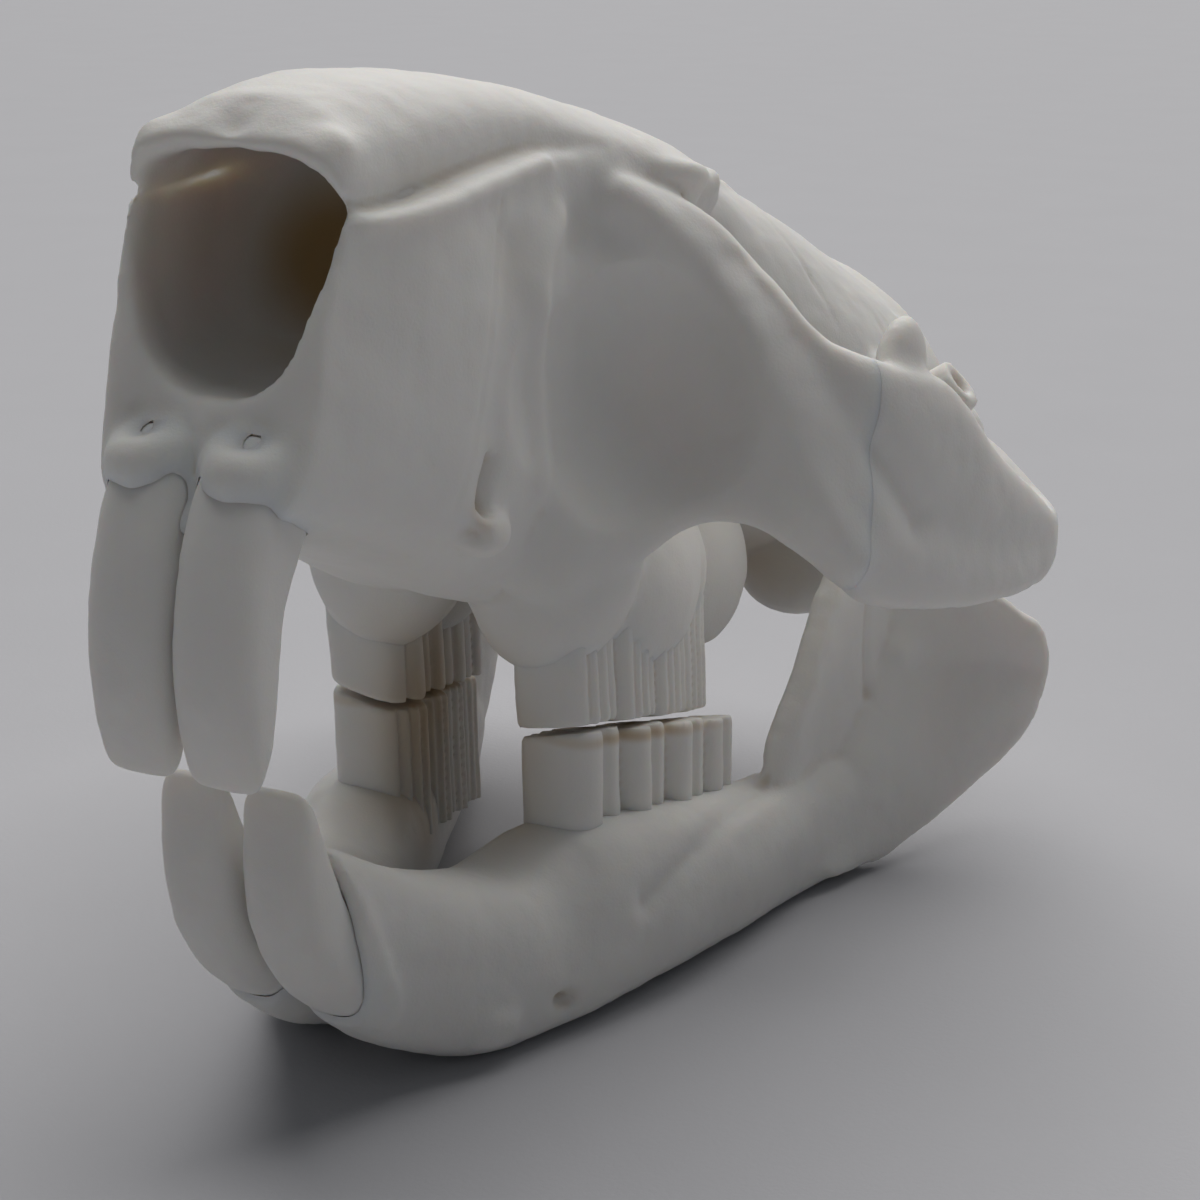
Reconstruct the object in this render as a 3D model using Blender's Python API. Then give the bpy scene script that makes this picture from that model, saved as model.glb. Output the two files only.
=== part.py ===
"""Life-size plastic replica of a beaver skull with its lower jaw closed.

The skull is drawn level in its own frame and then tipped nose-up until the chin
and the two jaw angles stand on the table. In the drawing frame x runs to the
animal's left, s runs back from the nose and z runs up, all in millimetres.
Left-hand pieces are mirrored in the plane x = 0 to make the right-hand ones.
"""

import math

import bmesh
import bpy
from mathutils import Matrix, Vector

MM = 0.001

# How the skull stands
TILT_DEG = 12.6
FLAT_DEPTH_MM = 0.35

# Mesh fineness
SKULL_VOXEL_MM = 0.9
JAW_VOXEL_MM = 0.72
TOOTH_VOXEL_MM = 0.45
SOFTEN_ROUNDS = {"skull": 4, "jaw": 3, "tooth": 2}
VAULT_RING_POINTS = 44
RING_POINTS = 24
STATION_STEP_MM = 2.5
SWEEP_STEPS = 36
CRANIUM_TRIANGLES = 8200
JAW_TRIANGLES = 2300
INCISOR_TRIANGLES = 440
GAP_MM = 0.3

# Vault: station s, then (x, z) from the top midline round to the bottom midline
VAULT = [
    (0.0, [(0, 88.4), (5.5, 88.0), (9.0, 85.6), (10.4, 82.6), (10.2, 81.0), (11.0, 79.8), (10.6, 76.5),
           (9.9, 71), (10.4, 65), (10.2, 59), (8.4, 55.2), (0, 53.0)]),
    (4.0, [(0, 91.0), (5.8, 90.2), (9.8, 87.4), (11.2, 83.6), (10.8, 81.8), (12.4, 80.6), (12.2, 76.5),
           (11.8, 70.5), (12.2, 64), (11.4, 57.2), (8.8, 54.0), (0, 52.4)]),
    (12.0, [(0, 93.7), (6.2, 93.0), (10.2, 90.0), (11.4, 86.2), (10.9, 84.2), (13.2, 82.6), (13.9, 77.5),
            (14.0, 70), (14.0, 62), (12.8, 55.5), (8.5, 52.6), (0, 52)]),
    (22.0, [(0, 95.4), (6.4, 94.8), (10.2, 92.2), (11.4, 89.0), (11.2, 87.4), (13.0, 85.6), (14.2, 79),
            (15.0, 71), (15.0, 62), (13.0, 54.5), (8, 50), (0, 49.4)]),
    (32.0, [(0, 96.1), (6.6, 95.5), (10.2, 93.6), (11.6, 91.4), (12.0, 90.2), (13.4, 88.2), (14.4, 80),
            (14.8, 71), (14.4, 61), (12.4, 52), (7.6, 46.6), (0, 46.4)]),
    (42.0, [(0, 96.2), (7.0, 95.5), (11.4, 94.0), (14.2, 92.2), (15.4, 90.4), (15.8, 87), (15.2, 79),
            (14.4, 70), (13.6, 60), (11.6, 51), (7, 45.6), (0, 46)]),
    (51.0, [(0, 95.8), (7.6, 95.1), (13.4, 93.4), (17.6, 91.4), (19.4, 89.4), (18.4, 86), (14.8, 79),
            (12.6, 70), (11.8, 60), (10.5, 52), (7, 47), (0, 47.5)]),
    (60.0, [(0, 95.1), (7.2, 94.4), (12.4, 92.8), (15.8, 90.6), (16.6, 88.4), (15.4, 85.2), (12.6, 79),
            (10.6, 70), (10.2, 60), (9.5, 53), (6.5, 49), (0, 49)]),
    (70.0, [(0, 94.3), (6.0, 93.5), (10.2, 91.6), (12.8, 89.2), (13.4, 86.6), (12.8, 83.4), (11.8, 78),
            (11.0, 69), (10.6, 60), (9.0, 54), (6, 50.5), (0, 50)]),
    (80.0, [(0, 93.3), (5.6, 92.4), (10.0, 90.2), (13.2, 87.2), (15.2, 83.6), (16.4, 79.4), (16.8, 75),
            (16.2, 67), (14.0, 59), (11, 54), (6.5, 51), (0, 50.5)]),
    (90.0, [(0, 92.2), (5.4, 91.3), (10.6, 88.8), (15.0, 85.2), (18.2, 81), (20.4, 76), (21.2, 71),
            (20.6, 64), (17.8, 57), (13, 52), (7, 49.5), (0, 49)]),
    (100.0, [(0, 90.9), (5.4, 89.9), (11.0, 87.2), (16.0, 83.4), (19.8, 78.8), (22.4, 73.6), (23.4, 68),
             (23.0, 62), (20.0, 55), (14, 50), (7, 47.5), (0, 47)]),
    (110.0, [(0, 89.0), (5.6, 88.0), (11.4, 85.2), (16.8, 81.4), (21.2, 76.6), (24.2, 71.6), (25.4, 66),
             (25.0, 60), (22.0, 54.5), (15, 49.5), (8, 47), (0, 46.5)]),
    (118.0, [(0, 87.2), (5.8, 86.1), (11.8, 83.4), (17.4, 79.6), (21.8, 75), (24.8, 70), (26.2, 65),
             (25.4, 60), (22.0, 54.5), (15, 50), (8, 48), (0, 47.5)]),
    (123.0, [(0, 84.8), (5.8, 83.8), (11.4, 81.4), (16.6, 77.6), (20.4, 73), (22.8, 68.6), (23.6, 64),
             (22.6, 59), (19.0, 54.5), (13, 51), (7, 49.5), (0, 49)]),
    (127.0, [(0, 80.0), (5.2, 79.2), (10.2, 77.2), (14.6, 74), (17.4, 70.5), (19.0, 67), (19.6, 63.6),
             (18.6, 59.6), (15.6, 56), (11, 53.5), (6, 52), (0, 51.5)]),
]

# Front face of the snout in side view: (z, s), fading out by LEAN_END_MM
LEAN = [(54, -3.0), (57.5, -4.6), (61, -4.0), (64, -3.2), (68, -3.2), (72, -2.8), (76, -1.0),
        (80, 0.8), (84, -0.2), (89, -1.8)]
LEAN_END_MM = 26.0
# Lip of the incisor sockets, pushed forward near the middle: (z, mm)
SOCKET_LIP = [(52.5, 1.0), (55.0, 3.0), (57.6, 3.6), (59.6, 2.8), (62.0, 0.8), (64.0, 0.0)]
SOCKET_LIP_HALF_MM = 11.0

# Cheek arch, from the snout round to the braincase: x, s, top z, bottom z, thickness
ARCH = [
    (8.0, 35.0, 87.6, 48.0, 9.0),
    (13.5, 40.5, 88.6, 46.0, 9.0),
    (18.0, 46.0, 88.0, 50.0, 8.4),
    (22.5, 50.0, 85.4, 54.4, 7.4),
    (28.0, 52.0, 80.6, 55.4, 6.6),
    (33.4, 54.6, 75.0, 53.0, 6.4),
    (37.8, 60.0, 73.2, 49.2, 6.2),
    (41.2, 69.0, 71.4, 48.2, 5.8),
    (43.6, 78.0, 65.4, 48.4, 5.6),
    (45.2, 88.0, 61.0, 49.2, 5.4),
    (45.4, 96.0, 58.8, 50.6, 5.4),
    (42.6, 101.4, 60.0, 53.0, 6.4),
    (37.0, 103.0, 64.6, 56.4, 8.4),
    (30.0, 102.6, 69.6, 59.6, 11.0),
    (22.0, 101.0, 74.0, 61.0, 13.0),
]
JUGAL_PROCESS = ((37.4, 66.0, 73.2), (2.3, 4.4, 5.0))

# Where the arch is parted from the skull: a point and a normal in plan
ARCH_FRONT_CUT = ((36.6, 58.0), (0.42, 0.91))
ARCH_BACK_CUT = ((45.0, 98.6), (-0.30, 0.95))
CUT_HEIGHT_MM = 62.0
CUT_REACH_MM = 34.0
CUT_HALF_WIDTH_MM = 9.0

# Rounded lumps of the skull: centre, radii
CRANIUM_LUMPS = {
    "maxilla": ((9.6, 46.0, 52.0), (9.4, 9.4, 14.0)),
    "cheek_capsule": ((13.0, 60.5, 47.5), (5.6, 12.0, 9.8)),
    "rear_capsule": ((12.4, 78.0, 47.5), (4.6, 7.0, 8.6)),
    "bulla": ((12.5, 107.0, 47.5), (7.2, 9.0, 7.0)),
    "mastoid": ((27.6, 113.5, 62.0), (5.6, 5.2, 8.0)),
    "condyle": ((7.8, 127.6, 56.0), (4.2, 4.6, 6.4)),
    "paroccipital": ((20.5, 120.5, 52.0), (3.2, 3.0, 9.5)),
    "pterygoid": ((7.6, 88.0, 46.5), (2.2, 8.0, 7.5)),
    "infraorbital_knob": ((13.0, 25.0, 54.0), (2.4, 3.4, 2.6)),
    "incisor_bulge": ((5.8, 0.6, 58.5), (5.4, 8.6, 5.0)),
}
EAR_TUBE = ((14.0, 106.0, 56.0), (31.4, 106.4, 71.6), 4.4, 3.3)
EAR_HOLE = (0.72, 1.2, 1.3, 1.9)

# Hollows
NOSE_HOLE = [
    (-9.0, 8.0, 10.0, 63.6, 85.8),
    (1.0, 8.2, 10.0, 64.8, 86.2),
    (9.0, 9.6, 10.4, 66.5, 88.8),
    (16.0, 8.4, 8.8, 69.0, 89.0),
    (20.0, 5.0, 5.4, 74.0, 85.0),
]
CHEEK_HOLLOW = ((26.0, 33.5, 67.0), (13.0, 16.5, 18.5))
MAGNUM_HOLE = ((0.0, 130.0, 63.4), (6.8, 7.4, 5.6))

# Cheek teeth, front to back: s, inner x, outer x, length
UPPER_TEETH = [
    (47.4, 7.0, 16.0, 9.8), (55.9, 9.2, 16.8, 7.8), (63.0, 10.6, 17.2, 7.2), (69.2, 11.8, 17.0, 6.2),
]
UPPER_TOOTH_Z = (31.9, 46.0)
LOWER_TEETH = [
    (52.0, 7.2, 16.0, 10.0), (60.8, 9.4, 17.4, 8.0), (68.2, 11.6, 18.8, 7.4), (74.8, 13.4, 19.6, 6.4),
]
LOWER_TOOTH_Z = (31.1, 16.0)
UPPER_TOOTH_LEAN_MM = 4.0
LOWER_TOOTH_LEAN_MM = -4.0
CHEWING_TILT = 0.2
TOOTH_GROOVE = 0.10

# Incisors in side view: centre s, centre z, depth, half width. Tip first.
UPPER_INCISOR = [
    (-0.6, 31.4, 0.9, 2.6), (-0.8, 32.2, 2.0, 3.6), (-1.3, 35.0, 4.4, 4.1), (-2.0, 39.0, 6.2, 4.3),
    (-2.6, 43.5, 7.0, 4.35), (-2.7, 48.5, 7.5, 4.4), (-2.0, 53.5, 7.9, 4.4), (-0.6, 58.0, 7.9, 4.3),
    (1.2, 61.6, 7.0, 4.0),
]
LOWER_INCISOR = [
    (6.9, 30.2, 0.9, 2.6), (7.4, 28.9, 2.2, 3.5), (8.4, 25.8, 4.4, 3.85), (9.8, 22.0, 6.4, 4.0),
    (12.0, 17.8, 7.6, 4.05), (15.4, 13.9, 8.0, 4.05), (20.2, 10.8, 7.8, 4.0), (26.0, 9.2, 7.2, 3.8),
]
INCISOR_SIDE_MM = 4.5
ENAMEL_POWER = 2.5
DENTINE_POWER = 3.4

# Jaw body ribs: top (s, z), bottom (s, z), inner x, outer x
JAW_BODY = [
    ((12.6, 24.6), (20.0, 5.8), 0.15, 9.6),
    ((18.0, 22.9), (25.6, 2.8), 0.15, 10.4),
    ((26.0, 20.2), (31.5, 0.8), 0.15, 12.6),
    ((34.0, 18.8), (37.0, -0.3), 0.15, 15.4),
    ((41.0, 18.6), (42.0, 0.4), 1.2, 18.0),
    ((48.0, 22.4), (48.0, 1.8), 4.2, 20.4),
    ((56.0, 23.2), (56.0, 3.8), 7.4, 22.6),
    ((65.0, 23.6), (65.0, 5.8), 10.8, 24.4),
    ((74.0, 24.0), (73.0, 7.6), 14.2, 25.8),
    ((82.0, 25.0), (82.0, 9.6), 17.6, 27.0),
    ((90.0, 27.0), (90.0, 11.6), 21.2, 28.8),
    ((97.0, 26.0), (97.0, 13.4), 24.0, 31.0),
]
# Jaw ramus ribs: s, bottom (x, z), top (x, z), thickness
JAW_RAMUS = [
    (78.6, (21.0, 18.0), (23.0, 28.0), 2.0),
    (81.0, (21.6, 17.0), (25.2, 38.0), 3.4),
    (84.0, (22.4, 16.0), (26.4, 50.0), 3.8),
    (87.5, (23.2, 16.0), (27.2, 60.0), 3.8),
    (91.0, (24.2, 16.0), (27.6, 62.0), 3.6),
    (95.0, (25.4, 17.0), (27.4, 56.0), 3.6),
    (99.0, (26.8, 19.0), (27.2, 55.0), 4.4),
    (103.0, (28.2, 24.0), (27.4, 56.0), 4.2),
    (106.0, (30.0, 34.0), (28.0, 50.0), 2.6),
]
# Jaw angle: root point, edge point, thickness
JAW_ANGLE = [
    ((23.0, 82.0, 14.5), (27.6, 90.0, 12.6), 4.4),
    ((25.0, 88.0, 21.0), (31.0, 99.5, 15.2), 4.6),
    ((26.0, 92.0, 28.0), (37.0, 107.2, 22.4), 4.4),
    ((27.0, 95.0, 34.0), (41.8, 112.2, 29.6), 4.2),
    ((27.5, 97.0, 40.0), (43.4, 114.6, 37.2), 4.0),
    ((28.0, 98.5, 45.0), (43.0, 110.6, 43.4), 3.8),
    ((28.0, 99.5, 49.0), (39.0, 104.0, 47.2), 3.4),
]
JAW_LUMPS = {
    "jaw_condyle": ((27.6, 100.6, 54.8), (4.4, 5.2, 3.0)),
    "chin": ((9.6, 38.6, 5.0), (6.4, 7.6, 4.9)),
}

# Plane that keeps the two jaw halves apart: s and z it spans
MIDLINE_SPAN_MM = ((-20.0, 140.0), (-30.0, 30.0))

# How square the cross-sections are: 2 is an ellipse
SQUARE = ((-1, -1), (1, -1), (1, 1), (-1, 1))
SLAB_POWER = 3.0
BODY_POWER = 2.7

WHITE = (0.80, 0.79, 0.77)
ROUGHNESS = 0.55


def clear_scene():
    for obj in list(bpy.data.objects):
        bpy.data.objects.remove(obj, do_unlink=True)


def curve_through(points, count, closed):
    """Return count points spaced evenly in parameter on a smooth curve."""
    total = len(points)
    spans = total if closed else total - 1
    out = []
    for k in range(count):
        t = k * spans / (count if closed else count - 1)
        i = min(int(t), spans - 1)
        f = t - i
        picks = [i - 1, i, i + 1, i + 2]
        if closed:
            p = [points[j % total] for j in picks]
        else:
            p = [points[min(max(j, 0), total - 1)] for j in picks]
        out.append(tuple(
            b + 0.5 * f * (c - a + f * (2 * a - 5 * b + 4 * c - d + f * (3 * b - a - 3 * c + d)))
            for a, b, c, d in zip(*p)))
    return out


def table_value(table, key):
    """Interpolate a table of (key, value) rows linearly."""
    if key <= table[0][0]:
        return table[0][1]
    for (k0, v0), (k1, v1) in zip(table, table[1:]):
        if key <= k1:
            return v0 + (v1 - v0) * (key - k0) / (k1 - k0)
    return table[-1][1]


def add_mesh(name, verts, faces):
    """Make a closed mesh object from points in millimetres, facing outward."""
    mesh = bpy.data.meshes.new(name)
    mesh.from_pydata([Vector(v) * MM for v in verts], [], faces)
    bm = bmesh.new()
    bm.from_mesh(mesh)
    bmesh.ops.recalc_face_normals(bm, faces=bm.faces)
    bm.to_mesh(mesh)
    bm.free()
    obj = bpy.data.objects.new(name, mesh)
    bpy.context.scene.collection.objects.link(obj)
    return obj


def loft(name, rings):
    """Skin a list of equal rings of points and cap both ends."""
    count = len(rings[0])
    verts = [p for ring in rings for p in ring]
    faces = []
    for r in range(len(rings) - 1):
        for k in range(count):
            a = r * count + k
            b = r * count + (k + 1) % count
            faces.append((a, b, b + count, a + count))
    faces.append(tuple(range(count)))
    faces.append(tuple(range(len(verts) - count, len(verts))))
    return add_mesh(name, verts, faces)


def smooth_loft(name, rings, steps):
    """Skin rings after curving each line of points along the loft."""
    count = len(rings[0])
    lines = [curve_through([ring[k] for ring in rings], steps, False) for k in range(count)]
    return loft(name, [[line[r] for line in lines] for r in range(steps)])


def lump(name, centre, radii):
    """Add an ellipsoid."""
    bm = bmesh.new()
    bmesh.ops.create_icosphere(bm, subdivisions=3, radius=1.0)
    verts = [(centre[0] + v.co.x * radii[0], centre[1] + v.co.y * radii[1], centre[2] + v.co.z * radii[2])
             for v in bm.verts]
    faces = [[v.index for v in f.verts] for f in bm.faces]
    bm.free()
    return add_mesh(name, verts, faces)


def superellipse(count, power):
    """Return unit loop points whose corners fill out as the power grows."""
    out = []
    for k in range(count):
        a = 2 * math.pi * k / count
        c = math.cos(a)
        s = math.sin(a)
        out.append((math.copysign(abs(c) ** (2 / power), c), math.copysign(abs(s) ** (2 / power), s)))
    return out


def mirrored(obj):
    """Return a copy of the object on the animal's right side."""
    mesh = obj.data.copy()
    mesh.transform(Matrix.Scale(-1.0, 4, (1.0, 0.0, 0.0)))
    mesh.flip_normals()
    twin = bpy.data.objects.new(obj.name + "_right", mesh)
    bpy.context.scene.collection.objects.link(twin)
    return twin


def both_sides(pieces):
    return pieces + [mirrored(piece) for piece in pieces]


def apply_modifiers(obj):
    """Bake the object's modifiers into its mesh."""
    graph = bpy.context.evaluated_depsgraph_get()
    baked = bpy.data.meshes.new_from_object(obj.evaluated_get(graph), depsgraph=graph)
    obj.modifiers.clear()
    obj.data = baked


def boolean(obj, operation, pieces):
    """Join the pieces to the object, or take them away, and remove them."""
    group = bpy.data.collections.new(obj.name + "_pieces")
    bpy.context.scene.collection.children.link(group)
    for piece in pieces:
        group.objects.link(piece)
    mod = obj.modifiers.new(operation.lower(), "BOOLEAN")
    mod.operation = operation
    mod.operand_type = "COLLECTION"
    mod.collection = group
    mod.solver = "MANIFOLD"
    apply_modifiers(obj)
    for piece in pieces:
        bpy.data.objects.remove(piece, do_unlink=True)
    bpy.data.collections.remove(group)


def blend(obj, voxel_mm, rounds):
    """Fuse the joined pieces into one even skin and soften the seams."""
    remesh = obj.modifiers.new("skin", "REMESH")
    remesh.mode = "VOXEL"
    remesh.voxel_size = voxel_mm * MM
    soften = obj.modifiers.new("soften", "SMOOTH")
    soften.factor = 0.5
    soften.iterations = rounds
    apply_modifiers(obj)


def thin_out(obj, triangles, even=False):
    """Cut the number of triangles, evenly left and right if asked."""
    bm = bmesh.new()
    bm.from_mesh(obj.data)
    bmesh.ops.triangulate(bm, faces=bm.faces)
    bm.to_mesh(obj.data)
    bm.free()
    mod = obj.modifiers.new("thin_out", "DECIMATE")
    mod.ratio = min(1.0, triangles / len(obj.data.polygons))
    mod.use_symmetry = even
    mod.symmetry_axis = "X"
    apply_modifiers(obj)


def islands(bm):
    """Return the mesh's connected sets of faces."""
    left = set(bm.faces)
    out = []
    while left:
        queue = [left.pop()]
        found = set(queue)
        while queue:
            for edge in queue.pop().edges:
                for face in edge.link_faces:
                    if face in left:
                        left.remove(face)
                        found.add(face)
                        queue.append(face)
        out.append(found)
    return out


def keep_largest(obj):
    """Drop every closed surface but the one with the most area."""
    bm = bmesh.new()
    bm.from_mesh(obj.data)
    groups = sorted(islands(bm), key=lambda g: sum(f.calc_area() for f in g), reverse=True)
    bmesh.ops.delete(bm, geom=[f for g in groups[1:] for f in g], context="FACES")
    bm.to_mesh(obj.data)
    bm.free()


def duplicate(obj, name):
    twin = bpy.data.objects.new(name, obj.data.copy())
    bpy.context.scene.collection.objects.link(twin)
    return twin


def vault_piece():
    """Loft the snout, forehead and braincase as one hull."""
    rings = []
    for s, half in VAULT:
        fade = max(0.0, 1 - s / LEAN_END_MM)
        right = [(-x, z) for x, z in reversed(half[1:-1])]
        loop = curve_through(half + right, VAULT_RING_POINTS, True)
        ring = []
        for x, z in loop:
            lip = table_value(SOCKET_LIP, z) * max(0.0, 1 - (abs(x) / SOCKET_LIP_HALF_MM) ** 3)
            ring.append((x, s + (table_value(LEAN, z) - lip) * fade, z))
        rings.append(ring)
    steps = round((VAULT[-1][0] - VAULT[0][0]) / STATION_STEP_MM)
    return smooth_loft("vault", rings, steps)


def arch_piece():
    """Sweep an upright rounded slab along the cheek arch."""
    unit = superellipse(RING_POINTS, SLAB_POWER)
    rings = []
    for i, (x, s, top, bottom, thick) in enumerate(ARCH):
        x0, s0 = ARCH[max(i - 1, 0)][:2]
        x1, s1 = ARCH[min(i + 1, len(ARCH) - 1)][:2]
        along = Vector((x1 - x0, s1 - s0)).normalized()
        side = Vector((along.y, -along.x))
        mid = (top + bottom) / 2
        half = (top - bottom) / 2
        out = side * (thick / 2)
        rings.append([(x + out.x * u, s + out.y * u, mid + v * half) for u, v in unit])
    return smooth_loft("arch", rings, SWEEP_STEPS)


def tube_piece(name, start, end, r0, r1):
    """Join two points with a tapered round bar."""
    start = Vector(start)
    end = Vector(end)
    turn = (end - start).to_track_quat("Z", "Y")
    rings = []
    unit = superellipse(RING_POINTS, 2.0)
    for centre, r in ((start, r0), (end, r1)):
        rings.append([tuple(centre + turn @ Vector((u * r, v * r, 0))) for u, v in unit])
    return loft(name, rings)


def tooth_pieces(name, rows, z_range, lean):
    """Add a row of grooved cheek teeth, from the chewing face to the root."""
    pieces = []
    for k, (s, inner, outer, length) in enumerate(rows):
        rings = []
        for f in (0.0, 0.33, 0.67, 1.0):
            z = z_range[0] + (z_range[1] - z_range[0]) * f
            shift = lean * (0.5 - f)
            half_x = (outer - inner) / 2
            ring = []
            for u, v in superellipse(RING_POINTS, SLAB_POWER):
                pinch = 1 - TOOTH_GROOVE * math.cos(v * math.pi * 2) * (abs(u) > 0.5)
                x = (inner + outer) / 2 + u * half_x * pinch
                ring.append((x, s + shift + v * length / 2, z + CHEWING_TILT * (x - inner) * (1 - f)))
            rings.append(ring)
        pieces.append(loft(f"{name}_{k}", rings))
    return pieces


def incisor_section(front):
    """Return a unit loop that is round on its front side and squarer behind."""
    round_side = superellipse(RING_POINTS, ENAMEL_POWER)
    square_side = superellipse(RING_POINTS, DENTINE_POWER)
    return [a if a[1] * front > 0 else b for a, b in zip(round_side, square_side)]


def incisor_piece(name, rows, front, swell):
    """Sweep the section along a side-view arc; swell grows it for a socket."""
    rings = []
    for i, (s, z, depth, half) in enumerate(rows):
        s0, z0 = rows[max(i - 1, 0)][:2]
        s1, z1 = rows[min(i + 1, len(rows) - 1)][:2]
        along = Vector((s1 - s0, z1 - z0)).normalized()
        across = Vector((-along.y, along.x))
        ring = []
        for u, v in incisor_section(front):
            reach = v * (depth / 2 + swell)
            ring.append((INCISOR_SIDE_MM + u * (half + swell), s + across.x * reach, z + across.y * reach))
        rings.append(ring)
    return smooth_loft(name, rings, SWEEP_STEPS)


def jaw_body_piece():
    rings = []
    for (top_s, top_z), (low_s, low_z), inner, outer in JAW_BODY:
        ring = []
        for u, v in superellipse(RING_POINTS, BODY_POWER):
            f = (v + 1) / 2
            ring.append(((inner + outer) / 2 + u * (outer - inner) / 2,
                         low_s + (top_s - low_s) * f, low_z + (top_z - low_z) * f))
        rings.append(ring)
    return smooth_loft("jaw_body", rings, SWEEP_STEPS)


def jaw_ramus_piece():
    rings = []
    for s, (x0, z0), (x1, z1), thick in JAW_RAMUS:
        up = Vector((x1 - x0, z1 - z0)).normalized()
        mid = Vector(((x0 + x1) / 2, (z0 + z1) / 2))
        half = (Vector((x1, z1)) - mid).length
        ring = []
        for u, v in superellipse(RING_POINTS, SLAB_POWER):
            ring.append((mid.x + up.x * half * v + up.y * u * thick / 2, s,
                         mid.y + up.y * half * v - up.x * u * thick / 2))
        rings.append(ring)
    return smooth_loft("jaw_ramus", rings, SWEEP_STEPS)


def jaw_angle_piece():
    rings = []
    for i, (root, edge, thick) in enumerate(JAW_ANGLE):
        root = Vector(root)
        edge = Vector(edge)
        before = JAW_ANGLE[max(i - 1, 0)]
        after = JAW_ANGLE[min(i + 1, len(JAW_ANGLE) - 1)]
        run = Vector(after[0]) + Vector(after[1]) - Vector(before[0]) - Vector(before[1])
        out = edge - root
        normal = out.cross(run).normalized()
        mid = (root + edge) / 2
        unit = superellipse(RING_POINTS, SLAB_POWER)
        rings.append([tuple(mid + out * (v / 2) + normal * (u * thick / 2)) for u, v in unit])
    return smooth_loft("jaw_angle", rings, SWEEP_STEPS)


def nose_hole_piece():
    rings = []
    for s, low_half, top_half, low, high in NOSE_HOLE:
        ring = []
        for u, v in superellipse(RING_POINTS, BODY_POWER):
            half = low_half + (top_half - low_half) * (v + 1) / 2
            ring.append((u * half, s, (low + high) / 2 + v * (high - low) / 2))
        rings.append(ring)
    return smooth_loft("nose_hole", rings, SWEEP_STEPS)


def ear_hole_piece():
    """Bore the mouth of the ear tube."""
    root = Vector(EAR_TUBE[0])
    tip = Vector(EAR_TUBE[1])
    start, end, r0, r1 = EAR_HOLE
    return tube_piece("ear_hole", root.lerp(tip, start), root.lerp(tip, end), r0, r1)


def build_cranium():
    """Join the skull's pieces, hollow the nose and give it one skin."""
    skull = vault_piece()
    skull.name = "cranium"
    side = [arch_piece(), tube_piece("ear_tube", *EAR_TUBE), lump("jugal_process", *JUGAL_PROCESS)]
    side += [lump(name, *shape) for name, shape in CRANIUM_LUMPS.items()]
    side += tooth_pieces("upper_tooth", UPPER_TEETH, UPPER_TOOTH_Z, UPPER_TOOTH_LEAN_MM)
    boolean(skull, "UNION", both_sides(side))
    hollows = both_sides([lump("cheek_hollow", *CHEEK_HOLLOW), ear_hole_piece()])
    boolean(skull, "DIFFERENCE", [nose_hole_piece(), lump("magnum_hole", *MAGNUM_HOLE)] + hollows)
    blend(skull, SKULL_VOXEL_MM, SOFTEN_ROUNDS["skull"])
    keep_largest(skull)
    thin_out(skull, CRANIUM_TRIANGLES, even=True)
    return skull


def cut_slab(name, cut):
    """Make a thin upright box across the arch at a plan point."""
    (x, s), (nx, ns) = cut
    across = Vector((nx, ns, 0)).normalized() * (GAP_MM / 2)
    along = Vector((-ns, nx, 0)).normalized() * CUT_HALF_WIDTH_MM
    rings = []
    for rise in (-CUT_REACH_MM, CUT_REACH_MM):
        centre = Vector((x, s, CUT_HEIGHT_MM + rise))
        rings.append([tuple(centre + across * a + along * b) for a, b in SQUARE])
    return loft(name, rings)


def part_arches(skull):
    """Free the two cheek arches from the skull with thin cuts."""
    slabs = [cut_slab("front_cut", ARCH_FRONT_CUT), cut_slab("back_cut", ARCH_BACK_CUT)]
    boolean(skull, "DIFFERENCE", both_sides(slabs))
    out = []
    for name, sign in (("zygomatic_arch_left", 1), ("zygomatic_arch_right", -1)):
        arch = duplicate(skull, name)
        keep_side_piece(arch, sign)
        out.append(arch)
    keep_largest(skull)
    return out


def keep_side_piece(obj, sign):
    """Keep the largest loose piece on one side, other than the skull itself."""
    bm = bmesh.new()
    bm.from_mesh(obj.data)
    groups = sorted(islands(bm), key=len, reverse=True)
    wanted = next(g for g in groups[1:] if sum(f.calc_center_median().x for f in g) * sign > 0)
    bmesh.ops.delete(bm, geom=[f for g in groups if g is not wanted for f in g], context="FACES")
    bm.to_mesh(obj.data)
    bm.free()


def build_jaw():
    """Join the left half of the lower jaw and give it one skin."""
    jaw = jaw_body_piece()
    jaw.name = "mandible_left"
    pieces = [jaw_ramus_piece(), jaw_angle_piece()]
    pieces += [lump(name, *shape) for name, shape in JAW_LUMPS.items()]
    pieces += tooth_pieces("lower_tooth", LOWER_TEETH, LOWER_TOOTH_Z, LOWER_TOOTH_LEAN_MM)
    boolean(jaw, "UNION", pieces)
    blend(jaw, JAW_VOXEL_MM, SOFTEN_ROUNDS["jaw"])
    keep_largest(jaw)
    thin_out(jaw, JAW_TRIANGLES)
    return jaw


def build_incisor(name, rows, front):
    tooth = incisor_piece(name, rows, front, 0.0)
    blend(tooth, TOOTH_VOXEL_MM, SOFTEN_ROUNDS["tooth"])
    thin_out(tooth, INCISOR_TRIANGLES)
    return tooth


def midline_slab():
    """Make a thin box on the plane of symmetry, to keep the two jaw halves apart."""
    stations, (low, high) = MIDLINE_SPAN_MM
    mid = (low + high) / 2
    half = (high - low) / 2
    return loft("midline", [[(a * GAP_MM / 2, s, mid + b * half) for a, b in SQUARE] for s in stations])


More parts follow.
